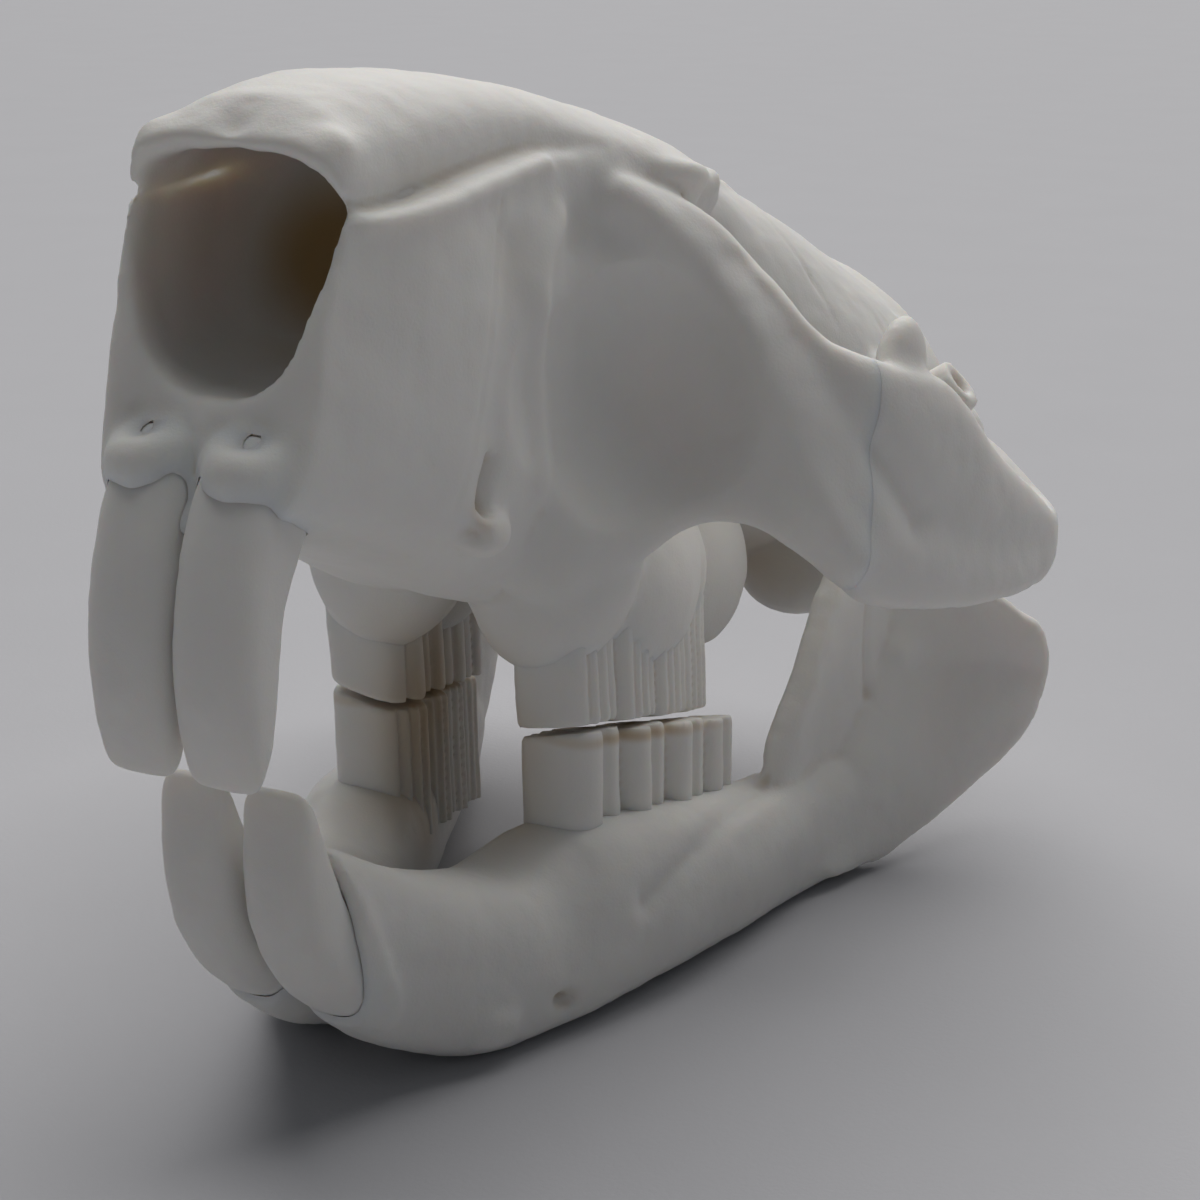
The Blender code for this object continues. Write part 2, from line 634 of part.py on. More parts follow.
def plastic(name, colour):
    mat = bpy.data.materials.new(name)
    mat.use_nodes = True
    shader = mat.node_tree.nodes["Principled BSDF"]
    shader.inputs["Base Color"].default_value = (*colour, 1.0)
    shader.inputs["Roughness"].default_value = ROUGHNESS
    shader.inputs["Metallic"].default_value = 0.0
    return mat


def cut_flat(obj, height):
    """Slice off what lies below a height and close the cut."""
    bm = bmesh.new()
    bm.from_mesh(obj.data)
    geom = bm.verts[:] + bm.edges[:] + bm.faces[:]
    cut = bmesh.ops.bisect_plane(
        bm, geom=geom, plane_co=(0, 0, height), plane_no=(0, 0, -1), clear_outer=True)
    edges = [e for e in cut["geom_cut"] if isinstance(e, bmesh.types.BMEdge)]
    bmesh.ops.holes_fill(bm, edges=edges)
    bmesh.ops.triangulate(bm, faces=bm.faces)
    bm.to_mesh(obj.data)
    bm.free()


def lowest(obj):
    return min(v.co.z for v in obj.data.vertices)


def stand_up(nodes):
    """Tip the drawing nose-up, stand it on the table and centre it."""
    tip = Matrix.Rotation(math.radians(-TILT_DEG), 4, "X")
    for obj in nodes:
        obj.data.transform(tip)
    floor = min(lowest(obj) for obj in nodes) + FLAT_DEPTH_MM * MM
    for obj in nodes:
        if lowest(obj) < floor:
            cut_flat(obj, floor)
    ys = [v.co.y for obj in nodes for v in obj.data.vertices]
    move = Matrix.Translation((0, -(min(ys) + max(ys)) / 2, -floor))
    for obj in nodes:
        obj.data.transform(move)


def finish_node(obj, material):
    obj.data.materials.clear()
    obj.data.materials.append(material)
    for face in obj.data.polygons:
        face.material_index = 0
        face.use_smooth = True


def main():
    clear_scene()
    skull = build_cranium()
    arches = part_arches(skull)
    jaw = build_jaw()
    upper = build_incisor("incisor_upper_left", UPPER_INCISOR, 1)
    lower = build_incisor("incisor_lower_left", LOWER_INCISOR, -1)
    sockets = both_sides([incisor_piece("upper_socket", UPPER_INCISOR, 1, GAP_MM)])
    boolean(skull, "DIFFERENCE", sockets)
    keep_largest(skull)
    boolean(jaw, "DIFFERENCE", [incisor_piece("lower_socket", LOWER_INCISOR, -1, GAP_MM), midline_slab()])
    keep_largest(jaw)
    nodes = [skull] + arches
    for left in (jaw, upper, lower):
        right = mirrored(left)
        right.name = left.name.replace("_left", "_right")
        nodes += [left, right]
    stand_up(nodes)
    for obj in nodes:
        finish_node(obj, plastic(obj.name, WHITE))


main()
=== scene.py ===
"""Dress a life-size plastic beaver skull with fine bone forms, teeth and a plain stage.

The pieces are drawn level in a frame of their own, in millimetres: x runs to the
animal's left, s runs back from the nose and z runs up. They are then tipped nose-up
and moved onto the part's solids. What is drawn for the left side is also made,
mirrored, for the right side.
"""

import math

import bmesh
import bpy
import numpy as np
from bpy.props import FloatProperty, FloatVectorProperty, IntProperty, PointerProperty
from bpy.types import Operator, Panel, PropertyGroup
from mathutils import Matrix, Vector


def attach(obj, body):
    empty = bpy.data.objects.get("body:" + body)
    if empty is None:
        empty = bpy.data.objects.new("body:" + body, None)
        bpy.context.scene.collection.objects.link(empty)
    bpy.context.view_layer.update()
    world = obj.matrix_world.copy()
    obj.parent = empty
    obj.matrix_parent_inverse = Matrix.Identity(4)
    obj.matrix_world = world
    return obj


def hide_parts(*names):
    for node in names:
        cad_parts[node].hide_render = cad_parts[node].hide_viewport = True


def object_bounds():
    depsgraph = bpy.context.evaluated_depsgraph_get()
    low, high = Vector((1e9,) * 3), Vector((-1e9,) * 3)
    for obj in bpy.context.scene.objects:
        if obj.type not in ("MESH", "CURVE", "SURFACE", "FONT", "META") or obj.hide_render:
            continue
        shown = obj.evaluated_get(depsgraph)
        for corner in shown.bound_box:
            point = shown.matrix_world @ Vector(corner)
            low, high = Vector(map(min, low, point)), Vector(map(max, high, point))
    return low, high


bl_info = {
    "name": "Beaver Skull Dressing",
    "version": (1, 0, 0),
    "blender": (4, 5, 0),
    "location": "View3D > Sidebar > Beaver Skull",
    "description": "Builds the fine bones, teeth, plastic and stage of a beaver skull model",
    "category": "Object",
}

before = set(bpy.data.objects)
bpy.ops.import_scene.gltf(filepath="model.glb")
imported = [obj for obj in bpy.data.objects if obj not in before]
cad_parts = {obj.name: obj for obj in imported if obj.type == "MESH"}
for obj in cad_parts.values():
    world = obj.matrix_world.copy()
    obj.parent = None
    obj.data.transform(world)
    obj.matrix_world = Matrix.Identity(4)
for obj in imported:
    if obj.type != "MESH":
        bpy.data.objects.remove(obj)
CAD_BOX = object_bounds()

MM = 0.001
BODY = "root"

# Where the drawing stands on the table
TILT_DEG = 12.6
SHIFT_MM = (0.0, -72.315, 8.424)

CAMERA_MM = (116.15, -214.03, 115.82)
MAIN_LIGHT_FROM = (-0.14, 0.56, 0.85)

# Vault: station s, then (x, z) from the top midline round to the bottom midline
VAULT = [
    (0.0, [(0, 86.6), (5.4, 86.5), (9.2, 85.2), (11.0, 82.9), (10.8, 81.3), (11.6, 80.0), (11.2, 77),
           (10.6, 71.5), (11.0, 65), (10.6, 59), (8.6, 55.2), (0, 53.0)]),
    (2.0, [(0, 89.4), (5.6, 89.0), (9.6, 86.8), (11.3, 83.4), (11.0, 81.7), (12.0, 80.3), (11.7, 77),
           (11.2, 71.2), (11.6, 64.6), (11.0, 58.4), (8.7, 54.8), (0, 52.7)]),
    (4.0, [(0, 91.0), (5.8, 90.2), (9.9, 87.6), (11.4, 83.8), (11.0, 82.0), (12.5, 80.6), (12.2, 76.8),
           (11.8, 70.8), (12.2, 64), (11.4, 57.6), (8.8, 54.2), (0, 52.4)]),
    (12.0, [(0, 93.7), (6.2, 93.0), (10.2, 90.0), (11.4, 86.2), (10.9, 84.2), (13.2, 82.6), (13.9, 77.5),
            (14.0, 70), (14.0, 62), (12.8, 55.5), (8.5, 52.6), (0, 52)]),
    (22.0, [(0, 95.4), (6.4, 94.8), (10.2, 92.2), (11.4, 89.0), (11.2, 87.4), (13.0, 85.6), (14.2, 79),
            (15.0, 71), (15.0, 62), (13.0, 54.5), (8, 50), (0, 49.4)]),
    (32.0, [(0, 96.1), (6.6, 95.5), (10.2, 93.6), (11.6, 91.4), (12.0, 90.2), (13.4, 88.2), (14.4, 80),
            (14.8, 71), (14.4, 61), (12.4, 52), (7.6, 46.6), (0, 46.4)]),
    (42.0, [(0, 96.2), (7.0, 95.5), (11.4, 94.0), (14.2, 92.2), (15.4, 90.4), (15.8, 87), (15.2, 79),
            (14.4, 70), (13.6, 60), (11.6, 51), (7, 45.6), (0, 46)]),
    (51.0, [(0, 95.8), (7.6, 95.1), (13.4, 93.4), (17.6, 91.4), (19.4, 89.4), (18.4, 86), (14.8, 79),
            (12.6, 70), (11.8, 60), (10.5, 52), (7, 47), (0, 47.5)]),
    (60.0, [(0, 95.1), (7.2, 94.4), (12.4, 92.8), (15.8, 90.6), (16.6, 88.4), (15.4, 85.2), (12.6, 79),
            (10.6, 70), (10.2, 60), (9.5, 53), (6.5, 49), (0, 49)]),
    (70.0, [(0, 94.3), (6.0, 93.5), (10.2, 91.6), (12.8, 89.2), (13.4, 86.6), (12.8, 83.4), (11.8, 78),
            (11.0, 69), (10.6, 60), (9.0, 54), (6, 50.5), (0, 50)]),
    (80.0, [(0, 93.3), (5.6, 92.4), (10.0, 90.2), (13.2, 87.2), (15.2, 83.6), (16.4, 79.4), (16.8, 75),
            (16.2, 67), (14.0, 59), (11, 54), (6.5, 51), (0, 50.5)]),
    (90.0, [(0, 92.2), (5.4, 91.3), (10.6, 88.8), (15.0, 85.2), (18.2, 81), (20.4, 76), (21.2, 71),
            (20.6, 64), (17.8, 57), (13, 52), (7, 49.5), (0, 49)]),
    (100.0, [(0, 90.9), (5.4, 89.9), (11.0, 87.2), (16.0, 83.4), (19.8, 78.8), (22.4, 73.6), (23.4, 68),
             (23.0, 62), (20.0, 55), (14, 50), (7, 47.5), (0, 47)]),
    (110.0, [(0, 89.0), (5.6, 88.0), (11.4, 85.2), (16.8, 81.4), (21.2, 76.6), (24.2, 71.6), (25.4, 66),
             (25.0, 60), (22.0, 54.5), (15, 49.5), (8, 47), (0, 46.5)]),
    (118.0, [(0, 87.2), (5.8, 86.1), (11.8, 83.4), (17.4, 79.6), (21.8, 75), (24.8, 70), (26.2, 65),
             (25.4, 60), (22.0, 54.5), (15, 50), (8, 48), (0, 47.5)]),
    (123.0, [(0, 84.8), (5.8, 83.8), (11.4, 81.4), (16.6, 77.6), (20.4, 73), (22.8, 68.6), (23.6, 64),
             (22.6, 59), (19.0, 54.5), (13, 51), (7, 49.5), (0, 49)]),
    (127.0, [(0, 80.0), (5.2, 79.2), (10.2, 77.2), (14.6, 74), (17.4, 70.5), (19.0, 67), (19.6, 63.6),
             (18.6, 59.6), (15.6, 56), (11, 53.5), (6, 52), (0, 51.5)]),
]
VAULT_RING_POINTS = 88
STATION_STEP_MM = 1.5

# Front face of the snout in side view: (z, s), fading out by LEAN_END_MM
LEAN = [(54, -3.0), (57.5, -4.6), (61, -4.0), (64, -3.2), (68, -3.0), (72, -2.4), (76, -0.8),
        (80, 0.8), (83, -0.6), (85.5, -2.4), (88, -1.4)]
LEAN_END_MM = 26.0
# Lip of the incisor sockets, pushed forward near the middle: (z, mm)
SOCKET_LIP = [(52.5, 0.6), (55.0, 1.5), (57.6, 1.7), (59.6, 1.4), (62.0, 0.5), (64.0, 0.0)]
SOCKET_LIP_HALF_MM = 11.0
# How far the front corners of the snout fall back: (z, mm)
CORNER_BACK = [(54, 2.4), (60, 2.4), (66, 1.6), (72, 0.7), (78, 0.0)]
CORNER_HALF_MM = 10.6

# Cheek arch, from the snout round to the braincase: x, s, top z, bottom z, thickness
ARCH = [
    (8.0, 35.0, 87.6, 48.0, 9.0),
    (13.5, 40.5, 88.6, 46.0, 9.0),
    (18.0, 46.0, 88.0, 50.0, 8.4),
    (22.5, 50.0, 85.4, 54.4, 7.4),
    (28.0, 52.0, 80.6, 55.4, 6.6),
    (33.4, 54.6, 75.0, 53.0, 6.4),
    (37.8, 60.0, 73.2, 49.2, 6.2),
    (41.2, 69.0, 71.4, 48.2, 5.8),
    (43.6, 78.0, 65.4, 48.4, 5.6),
    (45.2, 88.0, 61.0, 49.2, 5.4),
    (45.4, 96.0, 58.8, 50.6, 5.4),
    (42.6, 101.4, 60.0, 53.0, 6.4),
    (37.0, 103.0, 64.6, 56.4, 8.4),
    (30.0, 102.6, 69.6, 59.6, 11.0),
    (22.0, 101.0, 74.0, 61.0, 13.0),
]
JUGAL_PROCESS = ((37.4, 66.0, 73.2), (2.3, 4.4, 5.0))

# Where the arch is parted from the skull: a point and a normal in plan
ARCH_FRONT_CUT = ((36.6, 58.0), (0.42, 0.91))
ARCH_BACK_CUT = ((45.0, 98.6), (-0.30, 0.95))
CUT_HEIGHT_MM = 62.0
CUT_REACH_MM = 34.0
CUT_HALF_WIDTH_MM = 9.0

# Rounded lumps of the skull: centre, radii
CRANIUM_LUMPS = {
    "maxilla": ((9.6, 46.0, 52.0), (9.4, 9.4, 14.0)),
    "cheek_capsule": ((13.0, 60.5, 47.5), (5.6, 12.0, 9.8)),
    "rear_capsule": ((12.4, 78.0, 47.5), (4.6, 7.0, 8.6)),
    "bulla": ((12.5, 107.0, 47.5), (7.2, 9.0, 7.0)),
    "mastoid": ((27.6, 113.5, 62.0), (5.6, 5.2, 8.0)),
    "condyle": ((7.8, 127.6, 56.0), (4.2, 4.6, 6.4)),
    "paroccipital": ((20.5, 120.5, 52.0), (3.2, 3.0, 9.5)),
    "pterygoid": ((7.6, 88.0, 46.5), (2.2, 8.0, 7.5)),
    "infraorbital_knob": ((13.0, 25.0, 54.0), (2.4, 3.4, 2.6)),
    "incisor_bulge": ((5.0, 1.4, 58.6), (5.2, 7.6, 5.0)),
}
EAR_TUBE = ((14.0, 106.0, 56.0), (31.4, 106.4, 71.6), 4.4, 3.3)
EAR_HOLE = (0.72, 1.2, 1.3, 1.9)

# Hollows
# Open nose: station s, then (x, z) from the roof's midline round to the floor's midline
NOSE_HOLE = [
    (-9.0, [(0, 85.2), (5.2, 85.2), (8.8, 84.0), (10.0, 82.0), (10.2, 79.5), (10.0, 76.8), (9.2, 73.6),
            (8.3, 70.6), (6.4, 67.0), (3.4, 64.6), (0, 63.8)]),
    (0.0, [(0, 85.6), (5.2, 85.4), (8.8, 84.0), (10.0, 82.0), (10.2, 79.5), (10.0, 76.8), (9.4, 73.6),
           (8.6, 70.6), (6.9, 67.4), (3.8, 65.2), (0, 64.6)]),
    (6.0, [(0, 88.4), (5.2, 87.8), (8.8, 85.4), (10.4, 82.4), (10.9, 79.5), (10.8, 76.6), (10.4, 73.6),
           (9.6, 70.6), (7.9, 68.0), (4.6, 66.4), (0, 66.0)]),
    (14.0, [(0, 90.0), (5.0, 89.4), (8.6, 87.0), (10.6, 83.6), (11.2, 80.0), (11.2, 77.0), (10.8, 74.0),
            (10.0, 71.4), (8.2, 69.4), (4.6, 68.2), (0, 68.0)]),
    (22.0, [(0, 88.6), (4.2, 88.2), (7.0, 86.0), (8.6, 83.0), (9.0, 80.0), (9.0, 77.4), (8.6, 75.2),
            (7.8, 73.2), (6.2, 71.8), (3.4, 71.2), (0, 71.0)]),
    (28.0, [(0, 84.0), (2.6, 83.8), (4.0, 82.8), (4.8, 81.2), (5.0, 79.8), (4.8, 78.4), (4.4, 77.2),
            (3.8, 76.2), (2.8, 75.4), (1.6, 75.0), (0, 75.0)]),
]
NOSE_RING_POINTS = 60
CHEEK_HOLLOW = ((26.0, 33.5, 67.0), (13.0, 16.5, 18.5))
MAGNUM_HOLE = ((0.0, 130.0, 63.4), (6.8, 7.4, 5.6))

# Cheek teeth, front to back: s, inner x, outer x, length
UPPER_TEETH = [
    (47.4, 7.0, 16.0, 9.8), (55.9, 9.2, 16.8, 7.8), (63.0, 10.6, 17.2, 7.2), (69.2, 11.8, 17.0, 6.2),
]
LOWER_TEETH = [
    (52.0, 7.2, 16.0, 10.0), (60.8, 9.4, 17.4, 8.0), (68.2, 11.6, 18.8, 7.4), (74.8, 13.4, 19.6, 6.4),
]
UPPER_TOOTH_Z = (31.9, 46.0)
LOWER_TOOTH_Z = (31.1, 16.0)
UPPER_TOOTH_LEAN_MM = 4.0
LOWER_TOOTH_LEAN_MM = -4.0
CHEWING_TILT = 0.2
# Folds that run up a cheek tooth: side (1 cheek, -1 tongue), place along it, depth, width
UPPER_FOLDS = ((1, -0.42, 0.20, 0.13), (1, 0.02, 0.26, 0.13), (1, 0.46, 0.20, 0.13), (-1, 0.0, 0.24, 0.16))
LOWER_FOLDS = ((1, 0.05, 0.32, 0.18), (-1, -0.45, 0.2, 0.13), (-1, 0.0, 0.22, 0.13), (-1, 0.45, 0.2, 0.13))

# Incisors in side view: centre s, centre z, depth, half width. Tip first.
UPPER_INCISOR = [
    (-0.6, 31.4, 0.9, 2.6), (-0.8, 32.2, 2.0, 3.6), (-1.3, 35.0, 4.4, 4.1), (-2.0, 39.0, 6.2, 4.3),
    (-2.6, 43.5, 7.0, 4.35), (-2.6, 48.5, 7.7, 4.4), (-1.5, 53.5, 9.0, 4.4), (0.2, 57.4, 9.4, 4.3),
    (1.7, 60.0, 8.4, 4.0),
]
LOWER_INCISOR = [
    (6.9, 30.2, 0.9, 2.6), (7.4, 28.9, 2.2, 3.5), (8.4, 25.8, 4.4, 3.85), (9.8, 22.0, 6.4, 4.0),
    (12.0, 17.8, 7.6, 4.05), (15.4, 13.9, 8.0, 4.05), (20.2, 10.8, 7.8, 4.0), (26.0, 9.2, 7.2, 3.8),
]
INCISOR_SIDE_MM = 4.5
ENAMEL_POWER = 2.5
DENTINE_POWER = 3.4

# Jaw body ribs: top (s, z), bottom (s, z), inner x, outer x
JAW_BODY = [
    ((12.6, 24.6), (20.0, 5.8), 0.15, 9.6),
    ((18.0, 22.9), (25.6, 2.8), 0.15, 10.4),
    ((26.0, 20.2), (31.5, 0.8), 0.15, 12.6),
    ((34.0, 18.8), (37.0, -0.3), 0.15, 15.4),
    ((41.0, 18.6), (42.0, 0.4), 1.2, 18.0),
    ((48.0, 22.4), (48.0, 1.8), 4.2, 20.4),
    ((56.0, 23.2), (56.0, 3.8), 7.4, 22.6),
    ((65.0, 23.6), (65.0, 5.8), 10.8, 24.4),
    ((74.0, 24.0), (73.0, 7.6), 14.2, 25.8),
    ((82.0, 25.0), (82.0, 9.6), 17.6, 27.0),
    ((90.0, 27.0), (90.0, 11.6), 21.2, 28.8),
    ((97.0, 26.0), (97.0, 13.4), 24.0, 31.0),
]
# Jaw ramus ribs: s, bottom (x, z), top (x, z), thickness
JAW_RAMUS = [
    (78.6, (21.0, 18.0), (23.0, 28.0), 2.0),
    (81.0, (21.6, 17.0), (25.2, 38.0), 3.4),
    (84.0, (22.4, 16.0), (26.4, 50.0), 3.8),
    (87.5, (23.2, 16.0), (27.2, 60.0), 3.8),
    (91.0, (24.2, 16.0), (27.6, 62.0), 3.6),
    (95.0, (25.4, 17.0), (27.4, 56.0), 3.6),
    (99.0, (26.8, 19.0), (27.2, 55.0), 4.4),
    (103.0, (28.2, 24.0), (27.4, 56.0), 4.2),
    (106.0, (30.0, 34.0), (28.0, 50.0), 2.6),
]
# Jaw angle: root point, edge point, thickness
JAW_ANGLE = [
    ((23.0, 82.0, 14.5), (27.6, 90.0, 12.6), 4.4),
    ((25.0, 88.0, 21.0), (31.0, 99.5, 15.2), 4.6),
    ((26.0, 92.0, 28.0), (37.0, 107.2, 22.4), 4.4),
    ((27.0, 95.0, 34.0), (41.8, 112.2, 29.6), 4.2),
    ((27.5, 97.0, 40.0), (43.4, 114.6, 37.2), 4.0),
    ((28.0, 98.5, 45.0), (43.0, 110.6, 43.4), 3.8),
    ((28.0, 99.5, 49.0), (39.0, 104.0, 47.2), 3.4),
]
JAW_LUMPS = {
    "jaw_condyle": ((27.6, 100.6, 54.8), (4.4, 5.2, 3.0)),
    "chin": ((9.6, 38.6, 5.0), (6.4, 7.6, 4.9)),
}

# Carving: lines raised or cut along a path of (x, s, z): path, half width, height
CRANIUM_LINES = [
    # bright ridge down the front of the cheek arch
    ([(16.4, 39.8, 86.6), (18.8, 42.0, 85.0), (22.8, 46.0, 80.8), (26.6, 48.3, 75.8), (29.0, 49.1, 71.1),
      (32.3, 50.4, 65.6), (34.6, 51.7, 59.9), (38.0, 55.9, 53.1)], 2.6, 1.3),
    # trough between that ridge and the rim of the eye opening
    ([(25.8, 48.8, 81.7), (31.0, 50.6, 76.3), (36.0, 53.1, 69.9), (39.5, 57.0, 64.3), (42.4, 63.3, 57.5)],
     2.3, -0.8),
    # front edge of the cheek plate
    ([(14.1, 32.3, 83.4), (14.5, 28.7, 77.6), (13.7, 30.5, 71.1), (13.5, 33.5, 63.5), (13.9, 33.9, 57.8)],
     1.8, 0.9),
    # trough in front of it, down to the nerve slit
    ([(14.2, 24.0, 79.0), (15.0, 23.3, 71.0), (15.0, 22.5, 64.6), (14.5, 22.7, 59.0)], 3.0, -0.9),
    ([(14.6, 23.4, 60.5), (14.4, 23.2, 56.6)], 0.8, -2.2),
    # crease beside the nasal bones and the ridge under it
    ([(10.8, 0.0, 81.4), (11.0, 5.0, 82.2), (11.0, 12.0, 84.4), (11.4, 20.0, 87.3), (12.2, 30.0, 90.1),
      (14.6, 39.0, 91.6)], 0.9, -0.5),
    ([(12.0, 2.0, 80.4), (12.8, 8.0, 81.6), (13.2, 14.0, 83.4), (13.2, 22.0, 86.0), (13.4, 30.0, 88.6)],
     1.1, 0.8),
    # rim of the eye opening and the temple lines behind it
    ([(18.4, 46.0, 90.2), (19.4, 51.0, 90.4), (17.6, 57.0, 90.2), (14.6, 65.0, 89.0)], 1.3, 0.8),
    ([(15.6, 61.0, 90.6), (10.0, 74.0, 92.2), (5.0, 90.0, 92.0), (1.2, 106.0, 90.4), (0.0, 120.0, 87.2)],
     1.3, 0.7),
    # crest round the back of the braincase
    ([(0.0, 122.4, 86.4), (8.0, 122.0, 84.0), (15.0, 121.2, 80.0), (20.6, 119.6, 75.4), (24.6, 117.6, 69.6),
      (27.2, 115.6, 64.6)], 1.8, 1.5),
    # seams between the bones
    ([(0.0, -2.0, 88.8), (0.0, 20.0, 95.2), (0.0, 46.0, 96.2), (0.0, 66.0, 94.8)], 0.4, -0.35),
    ([(13.4, 22.0, 84.4), (14.6, 20.4, 76.0), (15.0, 19.4, 66.0), (13.6, 18.0, 56.6)], 0.4, -0.22),
    ([(0.0, 48.6, 96.2), (7.0, 47.6, 95.4), (14.0, 46.6, 93.2)], 0.4, -0.3),
    ([(0.0, 84.0, 93.0), (8.0, 86.0, 91.0), (16.0, 88.0, 84.6), (20.8, 92.0, 74.0)], 0.4, -0.3),
    ([(20.0, 104.0, 80.0), (24.0, 106.0, 72.0), (25.8, 112.0, 66.0)], 0.5, -0.4),
    ([(3.6, -4.0, 60.0), (0.6, -3.0, 56.0), (0.0, 2.0, 52.6)], 0.7, -0.3),
]
# Carving: rounded hollows (negative) and swellings (positive): centre, radii, height
CRANIUM_SPOTS = [
    ((21.0, 42.0, 72.0), (9.0, 8.0, 13.0), -1.9),
    ((16.0, 37.0, 83.0), (5.0, 5.0, 5.0), -1.2),
    ((25.0, 48.0, 60.0), (7.0, 6.0, 6.0), -0.7),
    ((13.5, 7.0, 66.0), (5.0, 8.0, 10.0), 0.5),
    ((5.6, -4.0, 62.4), (2.9, 2.6, 2.0), -1.5),
    ((0.0, -3.6, 62.4), (1.6, 3.0, 3.0), 0.8),
    ((13.6, 22.4, 53.8), (1.4, 1.4, 1.2), -1.0),
    ((10.0, 0.0, 87.0), (3.0, 2.0, 2.0), 0.7),
    ((0.0, -1.4, 87.6), (1.8, 2.0, 2.6), -0.7),
    ((17.4, 56.0, 88.0), (2.6, 3.0, 2.6), -0.9),
    ((20.0, 96.0, 70.0), (6.0, 14.0, 12.0), 0.5),
    ((0.0, 78.0, 95.0), (6.0, 16.0, 3.0), -0.5),
    ((9.0, 126.5, 72.0), (6.0, 3.0, 6.0), -1.0),
    ((12.0, 58.0, 46.6), (6.0, 3.0, 3.0), -0.4),
    ((16.4, 66.5, 44.0), (2.4, 1.3, 8.0), -1.1),
]
ARCH_LINES = [
    ([(38.0, 60.0, 49.6), (41.6, 69.0, 48.6), (44.4, 80.0, 49.0), (46.0, 94.0, 50.6)], 1.5, 0.5),
    ([(39.5, 57.0, 64.3), (42.8, 64.0, 58.6), (45.4, 76.0, 55.6), (47.4, 90.0, 54.4)], 2.6, -0.6),
    ([(38.0, 62.0, 73.0), (41.4, 70.0, 70.6), (44.2, 80.0, 64.4), (46.2, 92.0, 60.0)], 1.2, 0.4),
]
JAW_LINES = [
    # crease where the chewing muscle starts, and the rim below it
    ([(21.5, 52.3, 15.4), (22.9, 60.9, 19.6), (22.6, 71.5, 23.2), (22.6, 78.3, 25.0)], 1.7, -0.9),
    ([(23.2, 58.0, 12.6), (25.2, 68.0, 15.4), (26.6, 80.0, 19.0)], 3.2, 0.6),
    # front edge of the ramus
    ([(24.6, 83.0, 46.0), (23.8, 81.0, 38.0), (22.8, 79.2, 30.0), (22.4, 77.0, 25.0)], 1.0, 0.5),
    ([(27.6, 90.0, 52.0), (28.1, 91.4, 44.0), (27.9, 92.8, 39.0), (28.1, 94.6, 34.0)], 0.8, -0.5),
    # socket rim of the front tooth
    ([(9.8, 12.0, 24.0), (10.2, 14.6, 20.0), (10.4, 18.0, 14.6), (10.2, 21.6, 9.4), (8.6, 22.8, 6.2)],
     1.0, 0.5),
    # thick rim of the jaw angle
    ([(30.0, 97.0, 15.0), (37.0, 106.6, 22.6), (41.6, 111.4, 29.8), (43.6, 114.0, 37.0), (42.8, 110.2, 43.2)],
     1.4, 0.5),
]
JAW_SPOTS = [
    ((17.4, 43.0, 15.0), (4.0, 5.0, 12.0), -0.8),
    ((18.2, 42.6, 5.8), (1.2, 1.5, 1.0), -1.6),
    ((34.0, 101.0, 34.0), (6.0, 6.0, 8.0), -0.9),
    ((30.9, 98.2, 39.6), (2.2, 2.2, 2.0), 0.9),
    ((25.4, 86.0, 30.0), (3.0, 5.0, 8.0), -0.7),
    ((12.4, 28.0, 14.0), (3.0, 6.0, 6.0), 0.5),
]


# Painted glow and warm shade: where light that came through the plastic is painted into the colour as a warm
# tint, in the hollows and holes: centre, radii, amount
CRANIUM_PAINTED_GLOW = [
    ((0.0, 13.0, 80.0), (10.5, 11.0, 9.0), 1.25),
    ((4.0, 24.0, 78.0), (8.0, 9.0, 8.0), 1.25),
    ((0.0, 16.0, 70.0), (9.0, 8.0, 5.0), 0.5),
    ((5.6, -4.4, 62.6), (2.6, 2.4, 1.8), 0.7),
    ((10.0, 94.0, 48.0), (12.0, 20.0, 9.0), 0.45),
    ((14.4, 22.6, 57.0), (1.6, 1.6, 3.6), 0.6),
    ((6.0, 50.0, 40.0), (7.0, 14.0, 8.0), 0.5),
]
JAW_PAINTED_GLOW = [
    ((8.0, 54.0, 20.0), (7.0, 14.0, 9.0), 0.6),
    ((4.0, 34.0, 14.0), (6.0, 8.0, 8.0), 0.3),
    ((18.2, 42.6, 5.8), (1.6, 1.8, 1.4), 0.8),
    ((22.0, 92.0, 34.0), (5.0, 9.0, 16.0), 0.3),
]
TOOTH_PAINTED_GLOW = [
    ((7.0, 56.0, 32.0), (7.0, 16.0, 14.0), 0.7),
    ((13.0, 60.0, 31.6), (8.0, 20.0, 0.9), 0.8),
]


class SkullSizes(PropertyGroup):
    bone_voxel_mm: FloatProperty(
        name="Bone Fineness", description="Size of the mesh cells on the bones", default=0.6, min=0.3, max=2.0)
    jaw_voxel_mm: FloatProperty(
        name="Jaw Fineness", description="Size of the mesh cells on the lower jaw", default=0.5, min=0.3, max=2.0)
    tooth_voxel_mm: FloatProperty(
        name="Tooth Fineness", description="Size of the mesh cells on the teeth", default=0.3, min=0.15, max=1.0)
    socket_gap: FloatProperty(
        name="Socket Gap", description="Gap round each front tooth", default=0.00012, min=0.0, max=0.001,
        unit="LENGTH", precision=5)
    carving: FloatProperty(
        name="Carving", description="Strength of the ridges, seams and hollows", default=1.0, min=0.0, max=2.0,
        subtype="FACTOR")
    pitting: FloatProperty(
        name="Pitting", description="Height of the uneven bone surface", default=0.00009, min=0.0, max=0.001,
        unit="LENGTH", precision=5)


